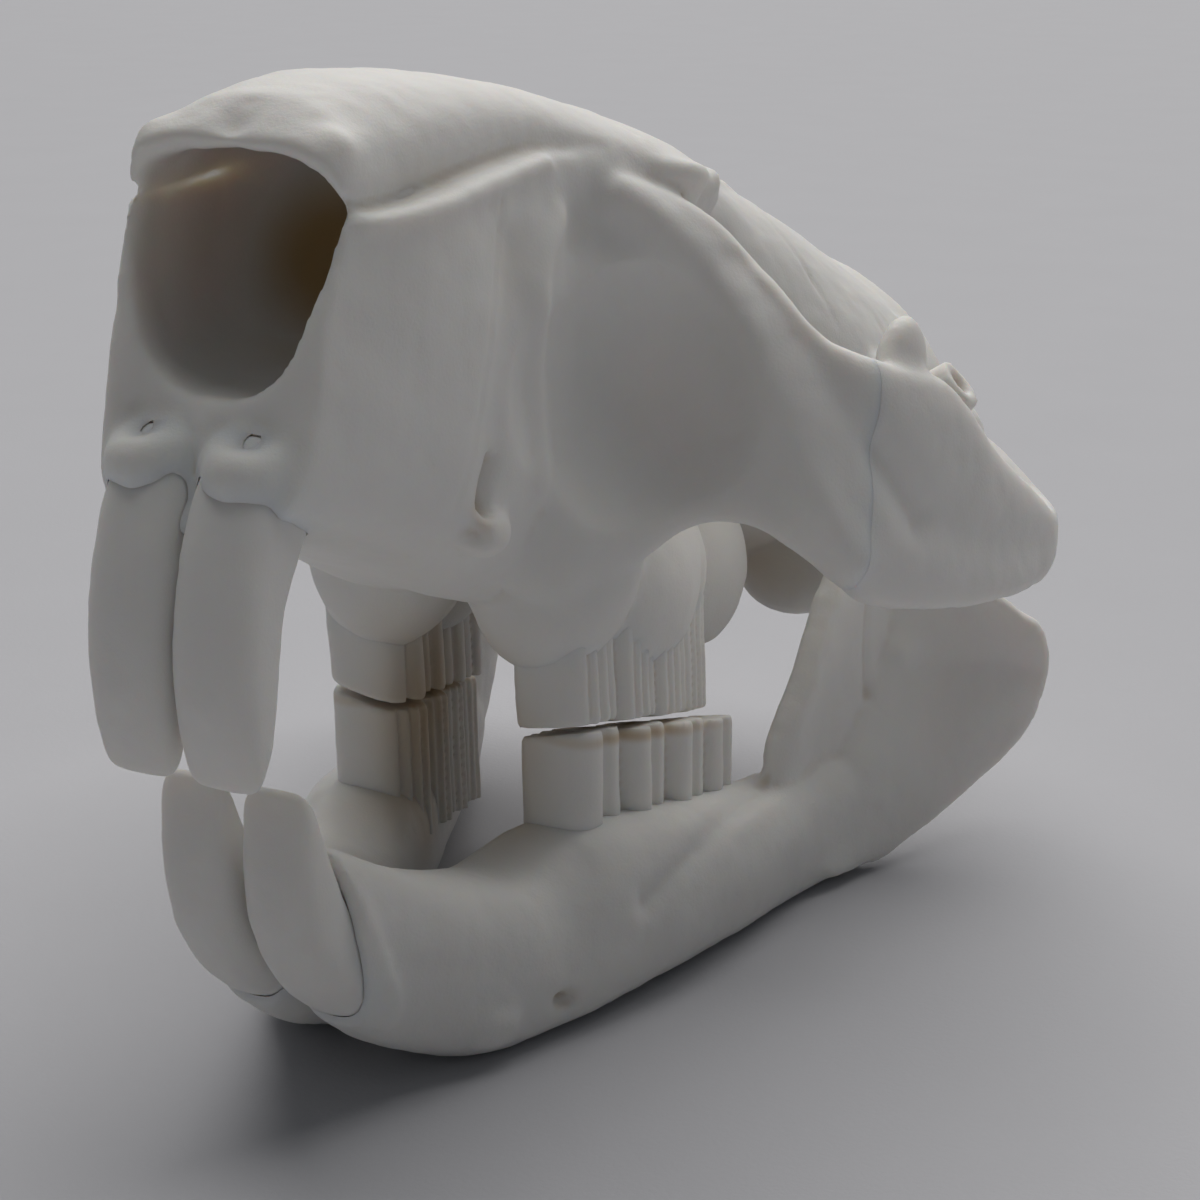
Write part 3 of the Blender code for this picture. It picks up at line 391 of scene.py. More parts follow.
class SkullPlastic(PropertyGroup):
    white: FloatVectorProperty(
        name="White", description="Colour of the open surfaces", default=(0.80, 0.785, 0.755), min=0.0, max=1.0,
        subtype="COLOR")
    # Painted glow and painted shade: the warm colour mixed into the plastic where light through the plastic glows
    # in the hollows and where the fine creases are shaded
    painted_glow_tint: FloatVectorProperty(
        name="Warm", description="Colour deep in the hollows", default=(0.52, 0.36, 0.17), min=0.0, max=1.0,
        subtype="COLOR")
    # Painted shade: how far the fine creases are mixed towards the warm tint, darkening them
    crease_painted_shade: FloatProperty(
        name="Crease Tint", description="How much the fine creases darken", default=0.35, min=0.0, max=1.0,
        subtype="FACTOR")
    grain_size: FloatProperty(
        name="Grain Size", description="Cell size of the fine surface grain", default=0.00035, min=0.0001,
        max=0.002, unit="LENGTH", precision=5)
    grain_height: FloatProperty(
        name="Grain Height", description="Height of the fine surface grain", default=0.00004, min=0.0, max=0.0005,
        unit="LENGTH", precision=5)
    glow: FloatProperty(
        name="Glow", description="Share of light that passes through the plastic", default=0.35, min=0.0, max=1.0,
        subtype="FACTOR")
    roughness: FloatProperty(
        name="Roughness", description="Dullness of the surface", default=0.56, min=0.0, max=1.0, subtype="FACTOR")


class SkullStage(PropertyGroup):
    floor_colour: FloatVectorProperty(
        name="Floor", description="Colour of the table top", default=(0.50, 0.50, 0.525), min=0.0, max=1.0,
        subtype="COLOR")
    floor_size: FloatProperty(
        name="Floor Size", description="Width of the table top", default=40.0, min=1.0, max=100.0, unit="LENGTH")
    key_strength: FloatProperty(
        name="Main Light", description="Strength of the wide soft light above and behind", default=2.6, min=0.0,
        max=20.0)
    key_spread: FloatProperty(
        name="Main Light Spread", description="How wide the soft light looks", default=math.radians(75),
        subtype="ANGLE")
    room_strength: FloatProperty(
        name="Room Light", description="Strength of the even room light", default=0.10, min=0.0, max=5.0)
    lens_mm: FloatProperty(
        name="Lens", description="Focal length on a 36 mm wide sensor", default=69.0, min=20.0, max=200.0,
        unit="CAMERA")
    turn: FloatProperty(
        name="Turn", description="Camera direction round the model", default=math.radians(27.1),
        subtype="ANGLE")
    rise: FloatProperty(
        name="Rise", description="Camera angle above the table", default=math.radians(18.04), subtype="ANGLE")


def curve_through(points, count, closed):
    """Return count points spaced evenly in parameter on a smooth curve."""
    total = len(points)
    spans = total if closed else total - 1
    out = []
    for k in range(count):
        t = k * spans / (count if closed else count - 1)
        i = min(int(t), spans - 1)
        f = t - i
        picks = [i - 1, i, i + 1, i + 2]
        if closed:
            p = [points[j % total] for j in picks]
        else:
            p = [points[min(max(j, 0), total - 1)] for j in picks]
        out.append(tuple(
            b + 0.5 * f * (c - a + f * (2 * a - 5 * b + 4 * c - d + f * (3 * b - a - 3 * c + d)))
            for a, b, c, d in zip(*p)))
    return out


def table_value(table, key):
    """Interpolate a table of (key, value) rows linearly."""
    if key <= table[0][0]:
        return table[0][1]
    for (k0, v0), (k1, v1) in zip(table, table[1:]):
        if key <= k1:
            return v0 + (v1 - v0) * (key - k0) / (k1 - k0)
    return table[-1][1]


def link(obj):
    bpy.context.scene.collection.objects.link(obj)
    return obj


def add_mesh(name, verts, faces):
    """Make a closed mesh object in drawing millimetres, facing outward."""
    mesh = bpy.data.meshes.new(name)
    mesh.from_pydata([Vector(v) * MM for v in verts], [], faces)
    bm = bmesh.new()
    bm.from_mesh(mesh)
    bmesh.ops.recalc_face_normals(bm, faces=bm.faces)
    bm.to_mesh(mesh)
    bm.free()
    return link(bpy.data.objects.new(name, mesh))


def loft(name, rings):
    """Skin a list of equal rings of points and cap both ends."""
    count = len(rings[0])
    verts = [p for ring in rings for p in ring]
    faces = []
    for r in range(len(rings) - 1):
        for k in range(count):
            a = r * count + k
            b = r * count + (k + 1) % count
            faces.append((a, b, b + count, a + count))
    faces.append(tuple(range(count)))
    faces.append(tuple(range(len(verts) - count, len(verts))))
    return add_mesh(name, verts, faces)


def smooth_loft(name, rings, steps):
    """Skin rings after curving each line of points along the loft."""
    count = len(rings[0])
    lines = [curve_through([ring[k] for ring in rings], steps, False) for k in range(count)]
    return loft(name, [[line[r] for line in lines] for r in range(steps)])


def lump(name, centre, radii):
    """Add an ellipsoid."""
    bm = bmesh.new()
    bmesh.ops.create_icosphere(bm, subdivisions=4, radius=1.0)
    verts = [(centre[0] + v.co.x * radii[0], centre[1] + v.co.y * radii[1], centre[2] + v.co.z * radii[2])
             for v in bm.verts]
    faces = [[v.index for v in f.verts] for f in bm.faces]
    bm.free()
    return add_mesh(name, verts, faces)


def superellipse(count, power):
    """Return unit loop points whose corners fill out as the power grows."""
    out = []
    for k in range(count):
        a = 2 * math.pi * k / count
        c = math.cos(a)
        s = math.sin(a)
        out.append((math.copysign(abs(c) ** (2 / power), c), math.copysign(abs(s) ** (2 / power), s)))
    return out


def mirrored(obj):
    """Return a copy of the object on the animal's right side."""
    mesh = obj.data.copy()
    mesh.transform(Matrix.Scale(-1.0, 4, (1.0, 0.0, 0.0)))
    mesh.flip_normals()
    return link(bpy.data.objects.new(obj.name.replace("_left", "") + "_right", mesh))


def both_sides(pieces):
    return pieces + [mirrored(piece) for piece in pieces]


def apply_modifiers(obj):
    """Bake the object's modifiers into its mesh."""
    graph = bpy.context.evaluated_depsgraph_get()
    baked = bpy.data.meshes.new_from_object(obj.evaluated_get(graph), depsgraph=graph)
    obj.modifiers.clear()
    obj.data = baked


def boolean(obj, operation, pieces):
    """Join the pieces to the object, or take them away, and remove them."""
    group = bpy.data.collections.new(obj.name + "_pieces")
    bpy.context.scene.collection.children.link(group)
    for piece in pieces:
        group.objects.link(piece)
    mod = obj.modifiers.new(operation.lower(), "BOOLEAN")
    mod.operation = operation
    mod.operand_type = "COLLECTION"
    mod.collection = group
    mod.solver = "MANIFOLD"
    apply_modifiers(obj)
    for piece in pieces:
        bpy.data.objects.remove(piece, do_unlink=True)
    bpy.data.collections.remove(group)


def blend(obj, voxel_mm, soften_mm):
    """Fuse the joined pieces into one even skin and soften the seams."""
    remesh = obj.modifiers.new("skin", "REMESH")
    remesh.mode = "VOXEL"
    remesh.voxel_size = voxel_mm * MM
    soften = obj.modifiers.new("soften", "SMOOTH")
    soften.factor = 0.5
    soften.iterations = max(1, round(2 * (soften_mm / voxel_mm) ** 2))
    apply_modifiers(obj)


def islands(bm):
    """Return the mesh's connected sets of faces."""
    left = set(bm.faces)
    out = []
    while left:
        queue = [left.pop()]
        found = set(queue)
        while queue:
            for edge in queue.pop().edges:
                for face in edge.link_faces:
                    if face in left:
                        left.remove(face)
                        found.add(face)
                        queue.append(face)
        out.append(found)
    return out


def keep_faces(obj, choose):
    """Keep the one connected piece that the choice function picks from the largest first."""
    bm = bmesh.new()
    bm.from_mesh(obj.data)
    groups = sorted(islands(bm), key=lambda g: sum(f.calc_area() for f in g), reverse=True)
    wanted = choose(groups)
    if wanted is None:
        bm.free()
        raise RuntimeError(f"{obj.name}: no such piece after the cut")
    bmesh.ops.delete(bm, geom=[f for g in groups if g is not wanted for f in g], context="FACES")
    bm.to_mesh(obj.data)
    bm.free()


def keep_largest(obj):
    keep_faces(obj, lambda groups: groups[0])


def keep_side_piece(obj, sign):
    """Keep the largest loose piece on one side, other than the skull itself."""
    def on_side(groups):
        return next((g for g in groups[1:] if sum(f.calc_center_median().x for f in g) * sign > 0), None)
    keep_faces(obj, on_side)


def lattice_noise(points, cell, seed):
    """Return smooth noise from -1 to 1 at each point, on cells of the given size."""
    q = points / cell + seed * 17.13
    base = np.floor(q).astype(np.int64)
    f = q - base
    f = f * f * (3 - 2 * f)
    total = np.zeros(len(points))
    for dx in (0, 1):
        for dy in (0, 1):
            for dz in (0, 1):
                key = (base[:, 0] + dx) * 73856093 ^ (base[:, 1] + dy) * 19349663 ^ (base[:, 2] + dz) * 83492791
                value = ((key * 2654435761 + seed * 97) % 4294967296) / 2147483648.0 - 1
                share = (np.where(dx, f[:, 0], 1 - f[:, 0]) * np.where(dy, f[:, 1], 1 - f[:, 1])
                         * np.where(dz, f[:, 2], 1 - f[:, 2]))
                total += value * share
    return total


def distance_to_path(points, path):
    """Return each point's distance to a line of straight runs."""
    best = np.full(len(points), 1e9)
    for a, b in zip(path, path[1:]):
        a = np.array(a, float)
        run = np.array(b, float) - a
        t = np.clip((points - a) @ run / (run @ run), 0, 1)
        gap = points - a - t[:, None] * run
        best = np.minimum(best, np.einsum("ij,ij->i", gap, gap))
    return np.sqrt(best)


class Carving:
    """The points of one mesh in drawing millimetres, moved along their normals."""

    def __init__(self, obj, strength):
        self.mesh = obj.data
        self.strength = strength
        count = len(self.mesh.vertices)
        flat = np.empty(count * 3)
        self.mesh.vertices.foreach_get("co", flat)
        self.points = flat.reshape(-1, 3) / MM
        normals = np.empty(count * 3, dtype=np.float32)
        self.mesh.vertex_normals.foreach_get("vector", normals)
        self.normals = normals.reshape(-1, 3).astype(float)
        self.folded = self.points * np.array([1.0, 1.0, 1.0])
        self.folded[:, 0] = np.abs(self.folded[:, 0])
        self.push = np.zeros(count)

    def lines(self, rows):
        """Raise or cut soft-edged lines, the same on both sides."""
        for path, width, height in rows:
            curve = curve_through(path, 4 * len(path), False)
            self.push += height * np.exp(-(distance_to_path(self.folded, curve) / width) ** 2)

    def spots(self, rows):
        """Raise or sink rounded spots, the same on both sides."""
        for centre, radii, height in rows:
            q = (self.folded - np.array(centre)) / np.array(radii)
            self.push += height * np.exp(-np.einsum("ij,ij->i", q, q) * 1.2)

    def pitting(self, height_mm, seed):
        """Roughen the surface unevenly at three sizes, never the same left and right."""
        for cell, share in ((7.0, 1.6), (2.6, 1.0), (1.2, 0.55)):
            self.push += height_mm * share * lattice_noise(self.points, cell, seed)
            seed += 1

    def finish(self):
        moved = self.points + self.normals * (self.push * self.strength)[:, None]
        self.mesh.vertices.foreach_set("co", (moved * MM).ravel())
        self.mesh.update()


def store_painted_glow(obj, rows):
    """Store on each point how strongly painted glow and warm shade, standing in for light that came through the
    plastic, tint it.
    """
    mesh = obj.data
    flat = np.empty(len(mesh.vertices) * 3, dtype=np.float32)
    mesh.vertices.foreach_get("co", flat)
    points = flat.reshape(-1, 3).astype(float) / MM
    points[:, 0] = np.abs(points[:, 0])
    warmth = np.zeros(len(points))
    for centre, radii, amount in rows:
        q = (points - np.array(centre)) / np.array(radii)
        warmth = np.maximum(warmth, amount * np.exp(-np.einsum("ij,ij->i", q, q)))
    layer = mesh.attributes.new("warmth", "FLOAT", "POINT")
    layer.data.foreach_set("value", warmth.astype(np.float32))


def vault_piece():
    """Loft the snout, forehead and braincase as one hull."""
    rings = []
    for s, half in VAULT:
        fade = max(0.0, 1 - s / LEAN_END_MM)
        right = [(-x, z) for x, z in reversed(half[1:-1])]
        loop = curve_through(half + right, VAULT_RING_POINTS, True)
        ring = []
        for x, z in loop:
            lip = table_value(SOCKET_LIP, z) * max(0.0, 1 - (abs(x) / SOCKET_LIP_HALF_MM) ** 3)
            corner = table_value(CORNER_BACK, z) * (abs(x) / CORNER_HALF_MM) ** 4
            ring.append((x, s + (table_value(LEAN, z) - lip + corner) * fade, z))
        rings.append(ring)
    steps = round((VAULT[-1][0] - VAULT[0][0]) / STATION_STEP_MM)
    return smooth_loft("vault", rings, steps)


def arch_piece():
    """Sweep an upright rounded slab along the cheek arch."""
    unit = superellipse(36, 3.0)
    rings = []
    for i, (x, s, top, bottom, thick) in enumerate(ARCH):
        x0, s0 = ARCH[max(i - 1, 0)][:2]
        x1, s1 = ARCH[min(i + 1, len(ARCH) - 1)][:2]
        along = Vector((x1 - x0, s1 - s0)).normalized()
        out = Vector((along.y, -along.x)) * (thick / 2)
        mid = (top + bottom) / 2
        half = (top - bottom) / 2
        rings.append([(x + out.x * u, s + out.y * u, mid + v * half) for u, v in unit])
    return smooth_loft("arch", rings, 60)


def tube_piece(name, start, end, r0, r1):
    """Join two points with a tapered round bar."""
    start = Vector(start)
    end = Vector(end)
    turn = (end - start).to_track_quat("Z", "Y")
    rings = []
    for centre, r in ((start, r0), (end, r1)):
        rings.append([tuple(centre + turn @ Vector((u * r, v * r, 0))) for u, v in superellipse(32, 2.0)])
    return loft(name, rings)


def ear_hole_piece():
    """Bore the mouth of the ear tube."""
    root = Vector(EAR_TUBE[0])
    tip = Vector(EAR_TUBE[1])
    start, end, r0, r1 = EAR_HOLE
    return tube_piece("ear_hole", root.lerp(tip, start), root.lerp(tip, end), r0, r1)


def nose_hole_piece():
    """Shape the open nose, wide at the top and narrower below."""
    rings = []
    for s, half in NOSE_HOLE:
        right = [(-x, z) for x, z in reversed(half[1:-1])]
        rings.append([(x, s, z) for x, z in curve_through(half + right, NOSE_RING_POINTS, True)])
    return smooth_loft("nose_hole", rings, 40)


def folded_loop(folds):
    """Return a cheek tooth's outline, notched where its enamel folds run in."""
    loop = []
    for u, v in superellipse(96, 3.2):
        depth = sum(d * math.exp(-((v - at) / w) ** 2) for side, at, d, w in folds if side * u > 0)
        loop.append((u * (1 - depth), v))
    return loop


def tooth_pieces(name, rows, z_range, lean, folds):
    """Add a row of folded cheek teeth, from the chewing face to the root."""
    unit = folded_loop(folds)
    pieces = []
    for k, (s, inner, outer, length) in enumerate(rows):
        rings = []
        for f in (0.0, 0.04, 0.35, 0.67, 1.0):
            z = z_range[0] + (z_range[1] - z_range[0]) * f
            round_in = 0.96 if f == 0.0 else 1.0
            ring = []
            for u, v in unit:
                x = (inner + outer) / 2 + u * round_in * (outer - inner) / 2
                y = s + lean * (0.5 - f) + v * round_in * length / 2
                ring.append((x, y, z + CHEWING_TILT * (x - inner) * (1 - f)))
            rings.append(ring)
        pieces.append(loft(f"{name}_{k}", rings))
    return pieces


def incisor_section(front, count):
    """Return a unit loop that is round on its front side and squarer behind."""
    round_side = superellipse(count, ENAMEL_POWER)
    square_side = superellipse(count, DENTINE_POWER)
    return [a if a[1] * front > 0 else b for a, b in zip(round_side, square_side)]


def incisor_piece(name, rows, front, swell):
    """Sweep the section along a side-view arc; swell grows it for a socket."""
    rings = []
    for i, (s, z, depth, half) in enumerate(rows):
        s0, z0 = rows[max(i - 1, 0)][:2]
        s1, z1 = rows[min(i + 1, len(rows) - 1)][:2]
        along = Vector((s1 - s0, z1 - z0)).normalized()
        across = Vector((-along.y, along.x))
        ring = []
        for u, v in incisor_section(front, 48):
            reach = v * (depth / 2 + swell)
            ring.append((INCISOR_SIDE_MM + u * (half + swell), s + across.x * reach, z + across.y * reach))
        rings.append(ring)
    return smooth_loft(name, rings, 60)


def jaw_body_piece():
    """Loft the tooth-bearing bar of the left jaw half."""
    rings = []
    for (top_s, top_z), (low_s, low_z), inner, outer in JAW_BODY:
        ring = []
        for u, v in superellipse(48, 2.7):
            f = (v + 1) / 2
            ring.append(((inner + outer) / 2 + u * (outer - inner) / 2,
                         low_s + (top_s - low_s) * f, low_z + (top_z - low_z) * f))
        rings.append(ring)
    return smooth_loft("jaw_body", rings, 60)


def jaw_ramus_piece():
    """Loft the upright plate behind the cheek teeth."""
    rings = []
    for s, (x0, z0), (x1, z1), thick in JAW_RAMUS:
        up = Vector((x1 - x0, z1 - z0)).normalized()
        mid = Vector(((x0 + x1) / 2, (z0 + z1) / 2))
        half = (Vector((x1, z1)) - mid).length
        ring = []
        for u, v in superellipse(36, 3.0):
            ring.append((mid.x + up.x * half * v + up.y * u * thick / 2, s,
                         mid.y + up.y * half * v - up.x * u * thick / 2))
        rings.append(ring)
    return smooth_loft("jaw_ramus", rings, 48)


def jaw_angle_piece():
    """Loft the flared plate at the back of the jaw."""
    rings = []
    for i, (root, edge, thick) in enumerate(JAW_ANGLE):
        root = Vector(root)
        edge = Vector(edge)
        before = JAW_ANGLE[max(i - 1, 0)]
        after = JAW_ANGLE[min(i + 1, len(JAW_ANGLE) - 1)]
        run = Vector(after[0]) + Vector(after[1]) - Vector(before[0]) - Vector(before[1])
        out = edge - root
        normal = out.cross(run).normalized()
        mid = (root + edge) / 2
        unit = superellipse(36, 3.0)
        rings.append([tuple(mid + out * (v / 2) + normal * (u * thick / 2)) for u, v in unit])
    return smooth_loft("jaw_angle", rings, 48)


def cut_slab(name, cut, gap):
    """Make a thin upright box across the arch at a plan point."""
    (x, s), (nx, ns) = cut
    across = Vector((nx, ns, 0)).normalized() * (gap / 2)
    along = Vector((-ns, nx, 0)).normalized() * CUT_HALF_WIDTH_MM
    rings = []
    for rise in (-CUT_REACH_MM, CUT_REACH_MM):
        centre = Vector((x, s, CUT_HEIGHT_MM + rise))
        corners = ((-1, -1), (1, -1), (1, 1), (-1, 1))
        rings.append([tuple(centre + across * a + along * b) for a, b in corners])
    return loft(name, rings)


def skull_clay(sizes):
    """Join the skull's pieces, hollow the nose and carve the surface."""
    skull = vault_piece()
    skull.name = "skull_bone"
    side = [arch_piece(), tube_piece("ear_tube", *EAR_TUBE), lump("jugal_process", *JUGAL_PROCESS)]
    side += [lump(name, *shape) for name, shape in CRANIUM_LUMPS.items()]
    boolean(skull, "UNION", both_sides(side))
    hollows = both_sides([lump("cheek_hollow", *CHEEK_HOLLOW), ear_hole_piece()])
    boolean(skull, "DIFFERENCE", [nose_hole_piece(), lump("magnum_hole", *MAGNUM_HOLE)] + hollows)
    blend(skull, sizes.bone_voxel_mm, 1.1)
    keep_largest(skull)
    carving = Carving(skull, sizes.carving)
    carving.lines(CRANIUM_LINES + ARCH_LINES)
    carving.spots(CRANIUM_SPOTS)
    carving.pitting(sizes.pitting / MM, 3)
    carving.finish()
    return skull


def stand_on_table(obj):
    """Tip a drawing nose-up and move it onto the part."""
    tip = Matrix.Rotation(math.radians(-TILT_DEG), 4, "X")
    obj.data.transform(Matrix.Translation(Vector(SHIFT_MM) * MM) @ tip)


def press_into_box(obj):
    """Press what would stand out of the solids' box, or sink into the table, flat on its side."""
    count = len(obj.data.vertices)
    flat = np.empty(count * 3, dtype=np.float32)
    obj.data.vertices.foreach_get("co", flat)
    inside = np.clip(flat.reshape(-1, 3), np.array(CAD_BOX[0]), np.array(CAD_BOX[1]))
    obj.data.vertices.foreach_set("co", inside.astype(np.float32).ravel())


def dress(obj, material, replaced=None):
    """Give a piece its plastic and its ride, and hide the part it replaces."""
    press_into_box(obj)
    obj.data.materials.clear()
    obj.data.materials.append(material)
    obj.data.polygons.foreach_set("use_smooth", [True] * len(obj.data.polygons))
    bm = bmesh.new()
    bm.from_mesh(obj.data)
    for edge in bm.edges:
        edge.smooth = edge.calc_face_angle(0.0) < math.radians(60)
    bm.to_mesh(obj.data)
    bm.free()
    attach(obj, BODY)
    if replaced:
        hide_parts(replaced)


def add_node(tree, kind, values=None, **settings):
    """Add a shader node, set its settings and its unlinked sockets."""
    node = tree.nodes.new(kind)
    for key, value in settings.items():
        setattr(node, key, value)
    for key, value in (values or {}).items():
        node.inputs[key].default_value = value
    return node


def new_group(name, inputs, outputs):
    """Start a shader node group with named sockets."""
    tree = bpy.data.node_groups.new(name, "ShaderNodeTree")
    for label, kind, default in inputs:
        socket = tree.interface.new_socket(name=label, in_out="INPUT", socket_type=kind)
        socket.default_value = default
    for label, kind in outputs:
        tree.interface.new_socket(name=label, in_out="OUTPUT", socket_type=kind)
    return tree, tree.nodes.new("NodeGroupInput"), tree.nodes.new("NodeGroupOutput")


def grain_group():
    """Height of the fine, even grain of sintered plastic."""
    name = "Sintered Grain"
    if name in bpy.data.node_groups:
        return bpy.data.node_groups[name]
    inputs = [("Cell Size", "NodeSocketFloat", 0.00035), ("Lumps", "NodeSocketFloat", 0.4)]
    tree, start, end = new_group(name, inputs, [("Height", "NodeSocketFloat"), ("Specks", "NodeSocketFloat")])
    place = add_node(tree, "ShaderNodeTexCoord")
    per_metre = add_node(tree, "ShaderNodeMath", {0: 1.0}, operation="DIVIDE")
    tree.links.new(start.outputs["Cell Size"], per_metre.inputs[1])
    fine = add_node(tree, "ShaderNodeTexNoise", {"Detail": 3.0, "Roughness": 0.6})
    tree.links.new(place.outputs["Object"], fine.inputs["Vector"])
    tree.links.new(per_metre.outputs[0], fine.inputs["Scale"])
    broad_scale = add_node(tree, "ShaderNodeMath", {1: 0.22}, operation="MULTIPLY")
    tree.links.new(per_metre.outputs[0], broad_scale.inputs[0])
    broad = add_node(tree, "ShaderNodeTexNoise", {"Detail": 2.0, "Roughness": 0.5})
    tree.links.new(place.outputs["Object"], broad.inputs["Vector"])
    tree.links.new(broad_scale.outputs[0], broad.inputs["Scale"])
    lumps = add_node(tree, "ShaderNodeMath", operation="MULTIPLY")
    tree.links.new(broad.outputs["Fac"], lumps.inputs[0])
    tree.links.new(start.outputs["Lumps"], lumps.inputs[1])
    total = add_node(tree, "ShaderNodeMath", operation="ADD")
    tree.links.new(fine.outputs["Fac"], total.inputs[0])
    tree.links.new(lumps.outputs[0], total.inputs[1])
    tree.links.new(total.outputs[0], end.inputs["Height"])
    specks = add_node(tree, "ShaderNodeMapRange", {"From Min": 0.62, "From Max": 0.74})
    tree.links.new(fine.outputs["Fac"], specks.inputs["Value"])
    tree.links.new(specks.outputs["Result"], end.inputs["Specks"])
    return tree


def recess_group():
    """Masks of the painted glow and warm shade in the hollows, the painted shade in the fine creases, and the
    edges.
    """
    name = "Recess Mask"
    if name in bpy.data.node_groups:
        return bpy.data.node_groups[name]
    inputs = [("Start", "NodeSocketFloat", 0.1), ("Crease Depth", "NodeSocketFloat", 0.06)]
    outputs = [("Warm", "NodeSocketFloat"), ("Crease", "NodeSocketFloat"), ("Edge", "NodeSocketFloat")]
    tree, start, end = new_group(name, inputs, outputs)
    # Painted glow: the stored amount of painted glow and warm shade, eased in
    stored = add_node(tree, "ShaderNodeAttribute", attribute_name="warmth")
    painted_glow_tint = add_node(tree, "ShaderNodeMapRange", {"From Max": 1.0}, interpolation_type="SMOOTHSTEP")
    tree.links.new(stored.outputs["Fac"], painted_glow_tint.inputs["Value"])
    tree.links.new(start.outputs["Start"], painted_glow_tint.inputs["From Min"])
    tree.links.new(painted_glow_tint.outputs["Result"], end.inputs["Warm"])
    shape = add_node(tree, "ShaderNodeNewGeometry")
    # Painted shade: concave creases, found from the pointiness, give the crease mask
    low = add_node(tree, "ShaderNodeMath", {0: 0.5}, operation="SUBTRACT")
    tree.links.new(start.outputs["Crease Depth"], low.inputs[1])
    crease = add_node(tree, "ShaderNodeMapRange", {"From Max": 0.49, "To Min": 1.0, "To Max": 0.0})
    tree.links.new(shape.outputs["Pointiness"], crease.inputs["Value"])
    tree.links.new(low.outputs[0], crease.inputs["From Min"])
    tree.links.new(crease.outputs["Result"], end.inputs["Crease"])
    high = add_node(tree, "ShaderNodeMath", {0: 0.5}, operation="ADD")
    tree.links.new(start.outputs["Crease Depth"], high.inputs[1])
    edge = add_node(tree, "ShaderNodeMapRange", {"From Min": 0.51})
    tree.links.new(shape.outputs["Pointiness"], edge.inputs["Value"])
    tree.links.new(high.outputs[0], edge.inputs["From Max"])
    tree.links.new(edge.outputs["Result"], end.inputs["Edge"])
    return tree


def drift_group():
    """Slow change of tone over the surface."""
    name = "Tone Drift"
    if name in bpy.data.node_groups:
        return bpy.data.node_groups[name]
    inputs = [("Patch Size", "NodeSocketFloat", 0.012), ("Amount", "NodeSocketFloat", 0.05)]
    tree, start, end = new_group(name, inputs, [("Tone", "NodeSocketFloat")])
    place = add_node(tree, "ShaderNodeTexCoord")
    per_metre = add_node(tree, "ShaderNodeMath", {0: 1.0}, operation="DIVIDE")
    tree.links.new(start.outputs["Patch Size"], per_metre.inputs[1])
    patches = add_node(tree, "ShaderNodeTexNoise", {"Detail": 4.0, "Roughness": 0.55})
    tree.links.new(place.outputs["Object"], patches.inputs["Vector"])
    tree.links.new(per_metre.outputs[0], patches.inputs["Scale"])
    centred = add_node(tree, "ShaderNodeMath", {1: 0.5}, operation="SUBTRACT")
    tree.links.new(patches.outputs["Fac"], centred.inputs[0])
    scaled = add_node(tree, "ShaderNodeMath", {2: 1.0}, operation="MULTIPLY_ADD")
    tree.links.new(centred.outputs[0], scaled.inputs[0])
    tree.links.new(start.outputs["Amount"], scaled.inputs[1])
    tree.links.new(scaled.outputs[0], end.inputs["Tone"])
    return tree


def group_node(tree, group, values):
    node = tree.nodes.new("ShaderNodeGroup")
    node.node_tree = group
    for key, value in values.items():
        node.inputs[key].default_value = value
    return node


def plastic_material(name, look, grain=1.0):
    """White sintered plastic: grainy, a little see-through, with painted glow and warm shade in its hollows and
    painted shade in its creases.
    """
    mat = bpy.data.materials.get(name)
    if mat:
        return mat
    mat = bpy.data.materials.new(name)
    mat.use_nodes = True
    tree = mat.node_tree
    shader = tree.nodes["Principled BSDF"]
    shader.inputs["Subsurface Weight"].default_value = look.glow
    shader.inputs["Subsurface Radius"].default_value = (1.0, 0.62, 0.34)
    shader.inputs["Subsurface Scale"].default_value = 0.0028
    shader.inputs["IOR"].default_value = 1.46
    shader.inputs["Specular IOR Level"].default_value = 0.35
    drift = group_node(tree, drift_group(), {"Patch Size": 0.014, "Amount": 0.10})
    recess = group_node(tree, recess_group(), {"Start": 0.12, "Crease Depth": 0.07})
    grain_node = group_node(tree, grain_group(), {"Cell Size": look.grain_size, "Lumps": 0.5})
    # Painted light: the white is mixed towards the warm tint by the stronger of the painted glow and the painted
    # crease shade
    tint = add_node(tree, "ShaderNodeMix", data_type="RGBA", blend_type="MIX")
    tint.inputs["A"].default_value = (*look.white, 1.0)
    tint.inputs["B"].default_value = (*look.painted_glow_tint, 1.0)
    crease_shade_amount = add_node(tree, "ShaderNodeMath", {1: look.crease_painted_shade}, operation="MULTIPLY")
    tree.links.new(recess.outputs["Crease"], crease_shade_amount.inputs[0])
    both = add_node(tree, "ShaderNodeMath", operation="MAXIMUM")
    tree.links.new(recess.outputs["Warm"], both.inputs[0])
    tree.links.new(crease_shade_amount.outputs[0], both.inputs[1])
    tree.links.new(both.outputs[0], tint.inputs["Factor"])
    tone = add_node(tree, "ShaderNodeVectorMath", operation="SCALE")
    tree.links.new(tint.outputs["Result"], tone.inputs[0])
    tree.links.new(drift.outputs["Tone"], tone.inputs["Scale"])
    tree.links.new(tone.outputs[0], shader.inputs["Base Color"])
    rough = add_node(tree, "ShaderNodeMapRange", {"To Min": look.roughness, "To Max": look.roughness + 0.14})
    tree.links.new(grain_node.outputs["Specks"], rough.inputs["Value"])
    tree.links.new(rough.outputs["Result"], shader.inputs["Roughness"])
    bump = add_node(tree, "ShaderNodeBump", {"Strength": 1.0, "Distance": look.grain_height * grain})
    tree.links.new(grain_node.outputs["Height"], bump.inputs["Height"])
    tree.links.new(bump.outputs["Normal"], shader.inputs["Normal"])
    return mat


